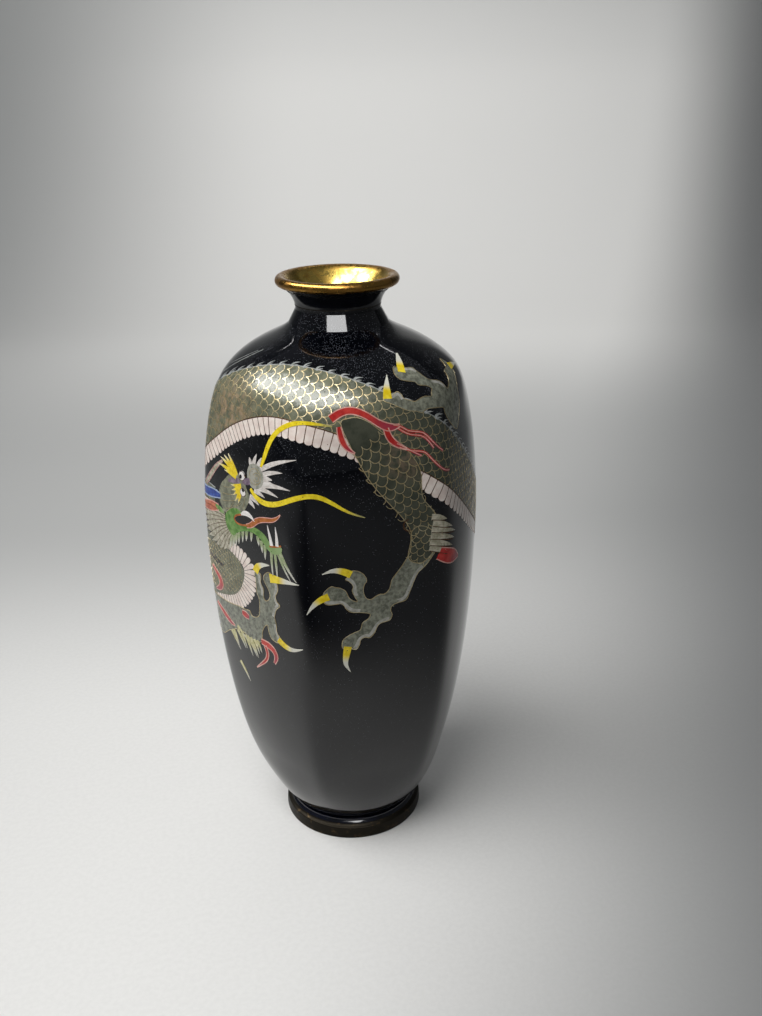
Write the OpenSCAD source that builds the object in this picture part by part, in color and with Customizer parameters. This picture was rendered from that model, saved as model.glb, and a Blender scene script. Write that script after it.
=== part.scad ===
/* [Size] */
// Height of the whole vase, foot to lip
vase_h = 240; // [234:1:246]

/* [Body] */
// How far the six panels flatten, 0 for a round body
hex_amount = 0.62; // [0.3:0.02:0.8]
// Sharpness of the six corners
hex_power = 24; // [12:2:36]
// Thickness of the copper wall
copper_t = 1.2; // [0.8:0.1:1.4]
// Thickness of the coloured enamel on the outside
enamel_t = 0.9; // [0.8:0.1:1]
// Thickness of the plain enamel inside
lining_t = 0.5; // [0.3:0.1:0.8]

/* [Mouth] */
// Outer radius of the brass lip
lip_r = 23.7; // [23:0.1:25]
// Thickness of the half-round bead of the lip
lip_bead = 2.8; // [2.4:0.1:3.4]
// Radius of the opening below the lip
throat_r = 13.4; // [12:0.1:13.6]

/* [Foot] */
// Outer radius of the foot ring
foot_r = 30.3; // [29.5:0.1:31.5]
// Height of the foot ring
foot_h = 6.5; // [5.5:0.1:7]
// Width of the flat annulus that the vase stands on
foot_w = 4; // [3:0.5:6]

/* [Wire] */
// Width of the flat cloison wire seen from outside
wire_w = 0.4; // [0.3:0.05:0.6]
// Depth of the long body, the face and their wires
field_t = 0.4; // [0.3:0.05:0.45]
// Depth of the limbs and small details that lie in front
front_t = 0.6; // [0.55:0.05:0.65]
// Depth of the hairs and back spines, the last and thinnest fill
hair_t = 0.2; // [0.1:0.05:0.3]
// How far the wire and the picture stand above the ground
wire_lift = 0.12; // [0.05:0.01:0.2]

/* [Dragon] */
// Turn of the dragon round the body
dragon_turn = -12.5; // [-180:0.5:180]
// Number of belly plates along the neck
neck_plates = 22; // [10:1:40]
// Number of belly plates along the trunk and tail
trunk_plates = 52; // [20:1:80]
// Number of spines along the back
spine_count = 30; // [10:1:60]

/* [Hidden] */

$fn = 96;

// Heights of the soldered joints, foot to lip
k = vase_h / 240;
body_z0 = 9 * k;
neck_z0 = 217 * k;
border_z = 229 * k;
lip_z = vase_h - 5.2;
wall_t = enamel_t + copper_t;

// The brass sleeve that runs down from the lip into the throat
sleeve_t = 0.5;
sleeve_flare = 0.6;
sleeve_knee_z = vase_h - 10;
sleeve_end_z = vase_h - 14;

// How much the base plate and its enamel fill of the foot ring's height
base_t = 1.5;
base_enamel_t = 0.5;

// Control polygon of the outer profile at the corners: radius, height
profile_net = [
    [21, 3], [28.6, 10], [35.8, 20], [42.9, 34], [48.9, 56], [53.6, 86],
    [56.1, 118], [56.9, 150], [54.9, 176], [51.3, 194], [47.2, 204],
    [37.9, 212], [28.6, 217], [21.3, 220], [16.9, 224], [15.9, 229],
    [19, 235], [26, 239]
];

// Point on a clamped uniform cubic B-spline, t from 0 to the number of spans
function end_net(net) = concat(
    [2 * net[0] - net[1]], net, [2 * net[len(net) - 1] - net[len(net) - 2]]);
function blend4(a, b, c, d, t) =
    (a * pow(1 - t, 3) + b * (3 * pow(t, 3) - 6 * t * t + 4)
    + c * (-3 * pow(t, 3) + 3 * t * t + 3 * t + 1) + d * pow(t, 3)) / 6;
function spline_at(net, t) =
    let (n = end_net(net), i = min(floor(t), len(n) - 4), f = t - i)
    blend4(n[i], n[i + 1], n[i + 2], n[i + 3], f);
// The same curve by share of its length in spans, 0 to 1
function on_path(net, share) =
    spline_at(net, min(max(share, 0), 1) * (len(net) - 1));

// The outer profile as radius and height, with its outward normal
profile_steps = 8 * (len(profile_net) - 1);
profile = [for (i = [0:profile_steps]) k * on_path(profile_net, i / profile_steps)];
function profile_normal(i) =
    let (a = profile[max(i - 1, 0)], b = profile[min(i + 1, len(profile) - 1)],
         d = b - a)
    [d[1], -d[0]] / norm(d);
radius_by_z = [for (p = profile) [p[1], p[0]]];
out_by_z = [for (i = [0:len(profile) - 1]) [profile[i][1], profile_normal(i)[0]]];
up_by_z = [for (i = [0:len(profile) - 1]) [profile[i][1], profile_normal(i)[1]]];

// Hexagon share at a height, and the radius factor of a soft hexagon
function smooth(x) = let (c = min(max(x, 0), 1)) c * c * (3 - 2 * c);
function hex_share(z) =
    hex_amount * smooth((z / k - 9) / 34) * smooth((216 - z / k) / 34);
function hex_sum(a) =
    pow(abs(cos(a)), hex_power) + pow(abs(cos(a - 60)), hex_power)
    + pow(abs(cos(a - 120)), hex_power);
function soft_hex(a) = pow(hex_sum(a) / hex_sum(30), -1 / hex_power);

// Point of the body at an angle from the front, at a height of the outer
// surface, and sunk below it along the profile normal
function skin(a, z, depth) =
    let (r = lookup(z, radius_by_z) - depth * lookup(z, out_by_z),
         share = hex_share(z), f = r * (1 - share + share * soft_hex(a)))
    [f * sin(a), -f * cos(a), z - depth * lookup(z, up_by_z)];

// Angles round the body, closer together at the six corners
corner_steps = [-30, -27, -20, -7, 7, 20, 27];
ring_angles = [for (side = [0:5]) for (a = corner_steps) side * 60 + a];
bowl_heights = k * [9, 14, 22, 35, 56];
wall_heights = k * [56, 86, 122, 155, 178];
shoulder_heights = k * [178, 193, 202, 208, 212.5, 217];
ring_heights = concat(bowl_heights, [for (i = [1:4]) wall_heights[i]],
    [for (i = [1:5]) shoulder_heights[i]]);

// Closed shell between two depths below the outer surface
module body_shell(top_depth, low_depth, heights = ring_heights) {
    cols = len(ring_angles);
    rows = len(heights);
    outer = [for (z = heights) for (a = ring_angles) skin(a, z, top_depth)];
    inner = [for (z = heights) for (a = ring_angles) skin(a, z, low_depth)];
    shift = rows * cols;
    faces = concat(
        [for (i = [0:rows - 2]) for (j = [0:cols - 1])
            let (n = (j + 1) % cols)
            [i * cols + j, (i + 1) * cols + j, (i + 1) * cols + n, i * cols + n]],
        [for (i = [0:rows - 2]) for (j = [0:cols - 1])
            let (n = (j + 1) % cols)
            [shift + i * cols + n, shift + (i + 1) * cols + n,
                shift + (i + 1) * cols + j, shift + i * cols + j]],
        [for (j = [0:cols - 1]) let (n = (j + 1) % cols)
            [j, n, shift + n, shift + j]],
        [for (j = [0:cols - 1]) let (n = (j + 1) % cols, top = (rows - 1) * cols)
            [top + n, top + j, shift + top + j, shift + top + n]]);
    polyhedron(concat(outer, inner), faces);
}

// Radius and height of a point sunk below the outline along its normal
function section_at(z, depth) = [
    lookup(z, radius_by_z) - depth * lookup(z, out_by_z),
    z - depth * lookup(z, up_by_z)];

// Section through the neck between two depths and two heights
module neck_section(top_depth, low_depth, z0, z1) {
    steps = 12;
    rows = [for (i = [0:steps]) z0 + (z1 - z0) * i / steps];
    polygon(concat([for (z = rows) section_at(z, top_depth)],
        [for (i = [0:steps]) section_at(rows[steps - i], low_depth)]));
}

module neck_shell(top_depth, low_depth, z0, z1) {
    rotate_extrude()
        neck_section(top_depth, low_depth, z0, z1);
}

// Direction of a path over the skin, in millimetres along and up it
function heading(net, share) =
    let (p = on_path(net, share), z = k * p[1],
         d = on_path(net, share + 0.004) - on_path(net, share - 0.004),
         run = [d[0] * lookup(z, radius_by_z) * PI / 180, k * d[1] / lookup(z, out_by_z)])
    run / norm(run);

// Place on the skin beside a path, so many millimetres to its left
function beside(net, share, side) =
    let (p = on_path(net, share), z = k * p[1], go = heading(net, share))
    [p[0] + dragon_turn - go[1] * side / (lookup(z, radius_by_z) * PI / 180),
        z + go[0] * side * lookup(z, out_by_z)];

// One shape laid into the skin: a smooth path of angle, height and half width,
// filled between two places across it, each a share of the half width plus a
// number of millimetres, with the left of the path counted positive
module inlay(net, from = -1, to = 1, from_mm = 0, to_mm = 0, rows = 4, cols = 1,
        lift = wire_lift, first = 0, last = 1, depth = field_t) {
    shares = [for (i = [0:rows]) first + (last - first) * i / rows];
    spots = [for (t = shares) let (half = on_path(net, t)[2]) for (c = [0:cols])
        beside(net, t, (from + (to - from) * c / cols) * half
            + from_mm + (to_mm - from_mm) * c / cols)];
    w = cols + 1;
    low = len(spots);
    end = rows * w;
    points = concat([for (s = spots) skin(s[0], s[1], -lift)],
        [for (s = spots) skin(s[0], s[1], depth)]);
    faces = concat(
        [for (i = [0:rows - 1]) for (c = [0:cols - 1])
            [i * w + c, i * w + c + 1, (i + 1) * w + c + 1, (i + 1) * w + c]],
        [for (i = [0:rows - 1]) for (c = [0:cols - 1])
            [low + (i + 1) * w + c, low + (i + 1) * w + c + 1,
                low + i * w + c + 1, low + i * w + c]],
        [for (i = [0:rows - 1])
            [i * w, (i + 1) * w, low + (i + 1) * w, low + i * w]],
        [for (i = [0:rows - 1])
            [(i + 1) * w + cols, i * w + cols, low + i * w + cols,
                low + (i + 1) * w + cols]],
        [for (c = [0:cols - 1]) [c + 1, c, low + c, low + c + 1]],
        [for (c = [0:cols - 1])
            [end + c, end + c + 1, low + end + c + 1, low + end + c]]);
    polyhedron(points, faces);
}

// Each net below is a row of angle, height and half width, in the order in
// which the shape is drawn
neck_net = [
    [-67, 158, 5], [-79, 159, 5.5], [-92, 155, 5.5], [-95, 145, 5.5], [-86, 138, 5.5],
    [-72, 136, 5.5], [-60, 136, 6.5], [-50, 128, 7], [-58, 120, 6.5], [-70, 118, 6.5],
    [-84, 115, 7]
];
trunk_net = [
    [-80, 116, 6.6], [-97, 113, 8.5], [-112, 118, 10], [-123, 131, 11.5], [-124, 148, 12.5],
    [-114, 163, 13.5], [-98, 175, 14], [-78, 190, 14.5], [-58, 201, 14.5], [-40, 205, 13.5],
    [-20, 206, 13], [0, 203, 12.5], [18, 195, 12.5], [34, 184, 12.5], [50, 171, 12],
    [67, 158, 11.5], [84, 146, 11], [102, 136, 10], [121, 128, 9], [140, 124, 8],
    [158, 127, 6.5], [172, 136, 5], [180, 148, 3.5], [182, 160, 1.8], [181, 170, 0.6]
];
// Stretches of each as start, end and rows, which overlap a little: the belly
// shows along the middle one, on the left of the neck and the right of the trunk
neck_parts = [[0, 0.046, 1], [0.04, 0.92, 18], [0.914, 1, 1]];
trunk_parts = [[0, 0.204, 10], [0.2, 0.92, 32], [0.916, 1, 4]];
neck_belly = neck_parts[1];
trunk_belly = trunk_parts[1];
neck_belly_from = 0.3;
trunk_belly_from = 0.58;

hind_leg = [[13, 195, 8.5], [17, 184, 10.5], [22, 172, 9], [28, 160, 6.5],
    [34, 151, 5.2], [33, 143, 4.5], [26, 134, 3.8], [20, 127, 3.8], [13, 121, 4.6],
    [9, 119, 3.6]];
far_leg = [[56, 186, 5], [55, 194, 4.6], [56, 199, 4], [60, 203, 2.4]];
fore_leg = [[-78, 108, 6], [-66, 110, 6.5], [-54, 108, 6], [-44, 111, 5],
    [-38, 118, 4.6], [-38, 125, 3.6]];
rear_leg = [[132, 116, 9], [128, 106, 9], [136, 96, 6.5], [146, 90, 5],
    [156, 92, 4.4], [164, 98, 4.2], [168, 102, 3.4]];
legs = [hind_leg, far_leg, fore_leg, rear_leg];

// Toes: the last two points of each are the root of its claw
toes = [
    [[10, 121, 2.4], [6, 127, 2.2], [9, 133, 2.2], [5, 138, 2], [2, 138.5, 1.6]],
    [[10, 120, 2.6], [3, 123, 2.4], [1, 129, 2.4], [-4, 132, 2.1], [-8, 130.5, 1.6]],
    [[13, 119, 2.8], [9, 113, 2.8], [4, 112.5, 2.4], [1, 111, 2], [-0.5, 108, 1.8]],
    [[57, 200, 2.4], [49, 203, 2.3], [42, 207, 2.2], [34, 210, 2], [31, 210, 1.6]],
    [[54, 197, 2.8], [44, 200, 2.4], [34, 201, 2.2], [27, 202, 2], [23.5, 203, 1.7]],
    [[59, 202, 2.4], [63, 206, 2.2], [68, 208, 2], [72, 206.5, 1.6]],
    [[-38, 122, 2.4], [-39, 128, 2.2], [-41, 133, 2.1], [-41, 136, 1.6]],
    [[-35, 122, 2.6], [-30, 128, 2.2], [-31, 133, 2.1], [-31, 135, 1.8]],
    [[-36, 117, 2.6], [-35, 111, 2.4], [-34, 108, 2.1], [-31, 107.5, 1.6]],
    [[166, 100, 2.4], [172, 103, 2.3], [178, 109, 2.1], [182, 110, 1.6]],
    [[166, 99, 2.6], [173, 97, 2.3], [180, 98, 2.1], [184, 96, 1.6]],
    [[164, 97, 2.6], [166, 90, 2.3], [172, 86, 2.1], [175, 83, 1.6]]
];
// Claws: root, middle and tip, one for each toe
claws = [
    [[2, 138.5, 1.6], [-3, 140, 1.1], [-9, 140.5, 0.15]],
    [[-8, 130.5, 1.6], [-12, 128, 1.2], [-16, 123, 0.15]],
    [[-0.5, 108, 1.8], [-2, 102, 1.3], [0, 96, 0.15]],
    [[31, 210, 1.6], [36, 211.5, 1.4], [40, 214, 0.15]],
    [[23.5, 203, 1.7], [21, 206, 1.4], [23.5, 210, 0.15]],
    [[72, 206.5, 1.6], [78, 205.5, 1.1], [86, 205, 0.15]],
    [[-41, 136, 1.6], [-40, 139, 1.2], [-34, 141, 0.15]],
    [[-31, 135, 1.8], [-26, 136, 1.2], [-20, 135, 0.15]],
    [[-31, 107.5, 1.6], [-26, 106, 1.2], [-20, 108, 0.15]],
    [[182, 110, 1.6], [187, 109, 1.2], [192, 105, 0.15]],
    [[184, 96, 1.6], [189, 94, 1.2], [192, 89, 0.15]],
    [[175, 83, 1.6], [177, 78, 1.2], [176, 72, 0.15]]
];
claw_root_share = 0.4;

flames = [
    [[-4, 198, 1.4], [3, 202, 1.1], [11, 200, 1.2], [19, 194, 1.9], [27, 187, 1.4],
        [36, 183, 1], [45, 176, 0.2]],
    [[20, 194, 1.4], [28, 193, 1.2], [36, 188, 0.9], [44, 182, 0.2]],
    [[38, 142, 2.4], [44, 139, 2.4], [50, 137, 1.2], [55, 134, 0.2]],
    [[-46, 102, 0.6], [-40, 104, 1], [-34, 103, 1.2], [-34, 98, 1.1], [-40, 94, 0.7],
        [-48, 90, 0.2]],
    [[-66, 124, 1], [-72, 121, 1.6], [-76, 117, 0.4]],
    [[-112, 108, 1.6], [-118, 102, 2.4], [-124, 100, 1.6], [-132, 95, 0.2]],
    [[181, 168, 1.6], [178, 176, 2.6], [184, 184, 1.8], [182, 194, 0.2]],
    [[181, 168, 1.6], [188, 174, 2.2], [194, 184, 0.2]],
    [[181, 168, 1.6], [172, 174, 2.2], [168, 186, 0.2]]
];
face_net = [[-70, 158, 4.2], [-62, 161, 6], [-55, 165, 5], [-48, 169, 3.4],
    [-43, 173, 3], [-38, 177, 3]];
jaw_net = [[-73, 154, 2.6], [-63, 152, 3.4], [-55, 151, 3.6], [-49, 152.5, 1.8],
    [-42, 153, 1.2], [-35, 152, 1.4], [-29, 148.5, 1.7]];
tongue_net = [[-49, 155, 1.4], [-42, 156.5, 1.2], [-36, 160, 1], [-30, 160.5, 0.8],
    [-26, 161.8, 0.2]];
fangs = [
    [[-48, 158.5, 0.9], [-44, 159.5, 0.9], [-40, 157.5, 0.15]],
    [[-30.5, 150, 0.8], [-31.5, 153, 0.6], [-32.5, 157, 0.15]],
    [[-27.5, 150, 0.8], [-27.5, 154, 0.6], [-28.5, 158, 0.15]]
];
brows = [
    [[-63, 179, 0.2], [-57, 176.5, 1.7], [-52, 174.5, 1.5], [-49, 173, 0.8]],
    [[-52, 161, 0.2], [-52, 165, 1.6], [-50, 168, 1.8], [-47, 168, 0.9]]
];
eyes = [[-47.5, 172.3], [-46.5, 166]];
eye_r = 1.7;
pupil_r = 0.7;
horns = [
    [[-63, 160, 1.5], [-74, 160, 1.7], [-86, 166, 1.2], [-96, 169, 0.2]],
    [[-61, 172, 1], [-68, 173, 1.1], [-73, 169, 0.9], [-75, 164, 0.2]]
];
ear_net = [[-64, 157, 1.2], [-72, 156, 2], [-82, 155, 0.3]];

// A tapered hair from a root to a tip, bent sideways by a share of its length
function hair(root, tip, w, bend) =
    let (d = tip - root, m = (root + tip) / 2 + [-d[1], d[0]] * bend)
    [[root[0], root[1], w], [m[0], m[1], w * 0.8], [tip[0], tip[1], 0.12]];
mane = concat(
    [for (i = [0:6]) hair([-62 + i * 1.6, 151.5], [-80 + i * 5.2, 147 - 1.4 * i], 1, 0.08)],
    [for (i = [0:4]) hair([-37, 172 + 2 * i], [-25 + i * 1.5, 170 + 3.4 * i], 1, -0.08)],
    [hair([-31, 147], [-29, 134], 0.8, 0.05), hair([-28, 148], [-20, 137], 0.8, -0.08)],
    [for (i = [0:3]) hair([38, 152 - 3 * i], [47, 152 - 4 * i], 0.9, 0.06)]);
elbow_hair = [for (i = [0:5]) hair([-66 + 4 * i, 103], [-69 + 5 * i, 94], 1, -0.08)];
whiskers = [
    [[-35, 180, 0.8], [-32, 186, 0.8], [-28, 192, 0.8], [-20, 196.5, 0.7],
        [-12, 196, 0.6], [-4, 195, 0.2]],
    [[-42, 169, 0.8], [-37, 166, 0.8], [-28, 166, 0.9], [-20, 170, 0.9],
        [-12, 171, 0.8], [-4, 166, 0.6], [7, 161.5, 0.15]]
];

// Fuses what it holds into one closed surface
module fused() {
    resize([0, 0, 0])
        children();
}

// All of a list of whole shapes
module shapes(list, rows = 4, cols = 1, lift = wire_lift, depth = front_t) {
    for (net = list)
        inlay(net, rows = rows, cols = cols, lift = lift, depth = depth);
}

module eye_discs(radius, lift, depth) {
    for (e = eyes)
        inlay([[e[0] - radius, e[1], 0.3 * radius], [e[0] - 0.5 * radius, e[1], radius],
            [e[0] + 0.5 * radius, e[1], radius], [e[0] + radius, e[1], 0.3 * radius]],
            rows = 3, lift = lift, depth = depth);
}

// How far a cutting shape stands above the skin
cut_lift = 3;

module head_shapes() {
    shapes([face_net, jaw_net], 6, 1, cut_lift, field_t);
    shapes(concat(brows, fangs, [tongue_net, ear_net]), 4, 1, cut_lift);
    shapes(horns, 5, 1, cut_lift);
}

module leg_shapes(lift) {
    shapes(legs, 8, 2, lift);
    shapes(toes, 4, 1, lift);
}

// Everything that lies in front of the long body
module front_shapes() {
    leg_shapes(cut_lift);
    shapes(claws, 2, 1, cut_lift);
    shapes(flames, 6, 1, cut_lift);
    shapes(whiskers, 9, 1, cut_lift);
    head_shapes();
}

// A strip beside one net, over one of its stretches
module strip(net, part, from, to, from_mm = 0, to_mm = 0, cols = 1, lift = wire_lift) {
    inlay(net, from, to, from_mm, to_mm, part[2], cols, lift, part[0], part[1]);
}

// The whole width of the long body
module long_body(lift) {
    for (part = neck_parts)
        strip(neck_net, part, -1, 1, lift = lift);
    for (part = trunk_parts)
        strip(trunk_net, part, -1, 1, cols = 3, lift = lift);
}

// The same without its wires and its belly
module scaled_skin() {
    for (i = [0:2]) {
        left = i == 1 ? neck_belly_from : 1;
        right = i == 1 ? -trunk_belly_from : -1;
        strip(neck_net, neck_parts[i], -1, left, wire_w, -wire_w);
        strip(trunk_net, trunk_parts[i], right, 1, wire_w, -wire_w, 3);
    }
}

// A share along the belly of a net, for plate i of a count
function belly_share(range, i, count) = range[0] + (range[1] - range[0]) * i / count;

// Each plate fills one pitch but for the wire beside it, and each wire what is left
module belly_pieces(wires) {
    gap = 0.16;
    a = wires ? 1 - gap : 0;
    b = wires ? 1 : 1 - gap;
    for (i = [0:neck_plates - 1])
        inlay(neck_net, neck_belly_from, 1, 0, -wire_w, 1,
            first = belly_share(neck_belly, i + a, neck_plates),
            last = belly_share(neck_belly, i + b, neck_plates));
    for (i = [0:trunk_plates - 1])
        inlay(trunk_net, -1, -trunk_belly_from, wire_w, 0, 1,
            first = belly_share(trunk_belly, i + a, trunk_plates),
            last = belly_share(trunk_belly, i + b, trunk_plates));
}

// One leaning spine at a share along the back of the trunk
module back_spine(share) {
    half = on_path(trunk_net, share)[2];
    spine_l = 0.4 + 0.2 * half;
    turn = [dragon_turn, 0];
    root = beside(trunk_net, share, half) - turn;
    tip = beside(trunk_net, share + 0.006, half + spine_l) - turn;
    inlay([[root[0], root[1] / k, 0.9], [tip[0], tip[1] / k, 0.15]], rows = 1, depth = hair_t);
}

module foot_ring() {
    color("saddlebrown")
        rotate_extrude()
            polygon([
                [foot_r - foot_w, 0], [foot_r - 0.5, 0], [foot_r, 0.5],
                [foot_r, foot_h - 1.2], [foot_r - 0.6, foot_h - 0.5], [foot_r - 1.4, foot_h],
                [foot_r - foot_w - 0.5, foot_h], [foot_r - foot_w - 0.5, foot_h - 2],
                [foot_r - foot_w, foot_h - 3]
            ]);
}

// Cove of enamel between the foot ring and the body
module foot_enamel() {
    inner = section_at(body_z0, enamel_t);
    outer = section_at(body_z0, 0);
    color("midnightblue")
        rotate_extrude()
            polygon([
                [inner[0], foot_h], [foot_r - 1.6, foot_h],
                [outer[0] + 0.1, foot_h + 1.1], outer, inner
            ]);
}

// Short copper collar that joins the body to the foot ring
module foot_collar() {
    outer = section_at(body_z0, enamel_t);
    inner = section_at(body_z0, wall_t);
    color("peru")
        rotate_extrude()
            polygon([[inner[0], foot_h], [outer[0], foot_h], outer, inner]);
}

module base_plate() {
    color("peru")
        translate([0, 0, foot_h - base_t])
            cylinder(h = base_t, r = foot_r - foot_w - 0.5);
}

module base_enamel() {
    color("midnightblue")
        translate([0, 0, foot_h - base_t - base_enamel_t])
            cylinder(h = base_enamel_t, r = foot_r - foot_w - 0.5);
}

module copper_bowl() {
    color("peru")
        body_shell(enamel_t, wall_t, bowl_heights);
}

module copper_wall() {
    color("peru")
        body_shell(enamel_t, wall_t, wall_heights);
}

module copper_shoulder() {
    color("peru")
        body_shell(enamel_t, wall_t, shoulder_heights);
}

module copper_neck() {
    color("peru")
        neck_shell(enamel_t, wall_t, neck_z0, lip_z);
}

module inner_enamel() {
    color("lightsteelblue")
        body_shell(wall_t, wall_t + lining_t);
}

module ground_enamel() {
    color("#0b0d14")
        fused()
            difference() {
                body_shell(0, enamel_t);
                long_body(cut_lift);
                front_shapes();
            }
}

module neck_enamel() {
    color("#0b0d14")
        neck_shell(0, enamel_t, neck_z0, border_z - wire_w / 2);
}

module neck_border_enamel() {
    color("#12141c")
        neck_shell(0, enamel_t, border_z + wire_w / 2, lip_z);
}

module neck_wire_ring() {
    color("goldenrod")
        neck_shell(-wire_lift, enamel_t, border_z - wire_w / 2, border_z + wire_w / 2);
}

// Half-round bead, sloping lip and sleeve, seated on the top of the neck
module mouth_rim() {
    bead_r = lip_bead / 2;
    bead_x = lip_r - bead_r;
    slope_x = bead_x - 4.1;
    color("goldenrod")
        rotate_extrude()
            difference() {
                union() {
                    translate([bead_x, vase_h - bead_r])
                        circle(r = bead_r, $fn = 32);
                    polygon([
                        [bead_x - 0.4, vase_h - 0.1], [slope_x, vase_h - 2.2],
                        [throat_r + sleeve_flare, sleeve_knee_z], [throat_r, sleeve_end_z],
                        [throat_r + sleeve_t, sleeve_end_z],
                        [throat_r + sleeve_flare + sleeve_t, sleeve_knee_z],
                        [slope_x - 0.6, lip_z], [bead_x - 1.3, lip_z],
                        [bead_x + 0.4, vase_h - lip_bead]
                    ]);
                }
                neck_section(-1, wall_t, neck_z0, lip_z);
            }
}

module scale_enamel() {
    color("#73786a")
        fused()
            difference() {
                scaled_skin();
                front_shapes();
            }
}

module belly_enamel() {
    color("#e1cdc3")
        fused()
            difference() {
                belly_pieces(false);
                front_shapes();
            }
}

module belly_wires() {
    color("darkgoldenrod")
        fused()
            difference() {
                belly_pieces(true);
                front_shapes();
            }
}

module outline_wires() {
    color("goldenrod")
        fused()
            difference() {
                union() {
                    for (part = neck_parts) {
                        strip(neck_net, part, -1, -1, 0, wire_w);
                        strip(neck_net, part, 1, 1, -wire_w, 0);
                    }
                    for (part = trunk_parts) {
                        strip(trunk_net, part, -1, -1, 0, wire_w);
                        strip(trunk_net, part, 1, 1, -wire_w, 0);
                    }
                    strip(neck_net, neck_belly, neck_belly_from, neck_belly_from, -wire_w, 0);
                    strip(trunk_net, trunk_belly, -trunk_belly_from, -trunk_belly_from, 0, wire_w);
                }
                front_shapes();
            }
}

module back_spines() {
    color("#8b8f7e")
        for (i = [0:spine_count - 1])
            back_spine(0.24 + 0.64 * i / spine_count);
}

module leg_enamel() {
    color("#8a8c80")
        fused()
            difference() {
                leg_shapes(wire_lift);
                shapes(claws, 2, 1, cut_lift);
                shapes(flames, 6, 1, cut_lift);
                shapes(whiskers, 9, 1, cut_lift);
                head_shapes();
            }
}

module claw_root_enamel() {
    color("gold")
        for (net = claws)
            inlay(net, rows = 1, last = claw_root_share, depth = front_t);
}

module claw_tip_enamel() {
    color("ivory")
        for (net = claws)
            inlay(net, rows = 2, first = claw_root_share, depth = front_t);
}

module flame_enamel() {
    color("firebrick")
        fused()
            shapes(flames, 6);
}

module face_enamel() {
    color("#848c7c")
        fused()
            difference() {
                inlay(face_net, rows = 6);
                inlay(jaw_net, rows = 6, lift = cut_lift, depth = front_t);
                shapes(concat(brows, fangs, [tongue_net, ear_net]), 4, 1, cut_lift);
                shapes(horns, 5, 1, cut_lift);
                eye_discs(eye_r, cut_lift, front_t);
            }
}

module jaw_enamel() {
    color("olivedrab")
        fused()
            difference() {
                inlay(jaw_net, rows = 6);
                shapes(concat(fangs, [tongue_net, ear_net]), 4, 1, cut_lift);
            }
}

module tongue_enamel() {
    color("sienna")
        inlay(tongue_net, depth = front_t);
}

module fang_enamel() {
    color("white")
        shapes(fangs);
}

module brow_enamel() {
    color("gold")
        shapes(brows);
}

module eye_enamel() {
    color("white")
        eye_discs(eye_r, wire_lift, front_t);
}

module pupil_enamel() {
    color("black")
        eye_discs(pupil_r, wire_lift + hair_t, -wire_lift);
}

module horn_enamel() {
    color("royalblue")
        fused()
            shapes(horns, 5);
}

module ear_enamel() {
    color("indianred")
        inlay(ear_net, depth = front_t);
}

module mane_enamel() {
    color("gainsboro")
        shapes(mane, 2, depth = hair_t);
}

module elbow_hair_enamel() {
    color("palegoldenrod")
        shapes(elbow_hair, 2, depth = hair_t);
}

module whisker_enamel() {
    color("gold")
        shapes(whiskers, 9);
}

foot_ring();
foot_enamel();
foot_collar();
base_plate();
base_enamel();
copper_bowl();
copper_wall();
copper_shoulder();
copper_neck();
inner_enamel();
ground_enamel();
neck_enamel();
neck_border_enamel();
neck_wire_ring();
mouth_rim();
scale_enamel();
belly_enamel();
belly_wires();
outline_wires();
back_spines();
leg_enamel();
claw_root_enamel();
claw_tip_enamel();
flame_enamel();
face_enamel();
jaw_enamel();
tongue_enamel();
fang_enamel();
brow_enamel();
eye_enamel();
pupil_enamel();
horn_enamel();
ear_enamel();
mane_enamel();
elbow_hair_enamel();
whisker_enamel();
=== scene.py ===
"""Six-sided cloisonne vase with an inlaid dragon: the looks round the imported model.

The picture is drawn flat, in millimetres, on a plane that is then laid round the
body: x runs round the vase, y up along its outline, and the third value is the
height above the glaze. Places on the drawing are given as an angle from the front
in degrees and a height in millimetres.
"""
import math

import bpy
import numpy as np
from mathutils import Matrix, Vector
from mathutils.geometry import delaunay_2d_cdt


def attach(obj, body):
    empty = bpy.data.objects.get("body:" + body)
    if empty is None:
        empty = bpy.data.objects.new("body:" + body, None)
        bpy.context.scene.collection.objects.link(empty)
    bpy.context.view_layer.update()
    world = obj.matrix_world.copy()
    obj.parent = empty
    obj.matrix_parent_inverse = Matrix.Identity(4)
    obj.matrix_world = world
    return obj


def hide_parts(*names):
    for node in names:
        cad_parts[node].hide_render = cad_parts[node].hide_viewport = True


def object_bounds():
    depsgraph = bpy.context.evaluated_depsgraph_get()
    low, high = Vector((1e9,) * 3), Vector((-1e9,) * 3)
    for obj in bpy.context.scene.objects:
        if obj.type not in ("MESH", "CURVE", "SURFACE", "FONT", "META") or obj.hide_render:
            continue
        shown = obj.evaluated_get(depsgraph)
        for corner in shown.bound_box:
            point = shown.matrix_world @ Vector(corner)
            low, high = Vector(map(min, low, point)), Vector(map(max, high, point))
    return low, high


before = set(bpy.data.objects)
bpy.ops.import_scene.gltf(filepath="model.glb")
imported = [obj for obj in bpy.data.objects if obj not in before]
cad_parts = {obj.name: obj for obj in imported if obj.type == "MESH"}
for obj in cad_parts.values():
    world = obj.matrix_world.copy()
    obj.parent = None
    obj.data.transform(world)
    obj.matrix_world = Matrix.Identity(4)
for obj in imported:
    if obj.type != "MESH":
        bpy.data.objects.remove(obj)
cad_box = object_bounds()

# ---------------------------------------------------------------- body shape

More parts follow.
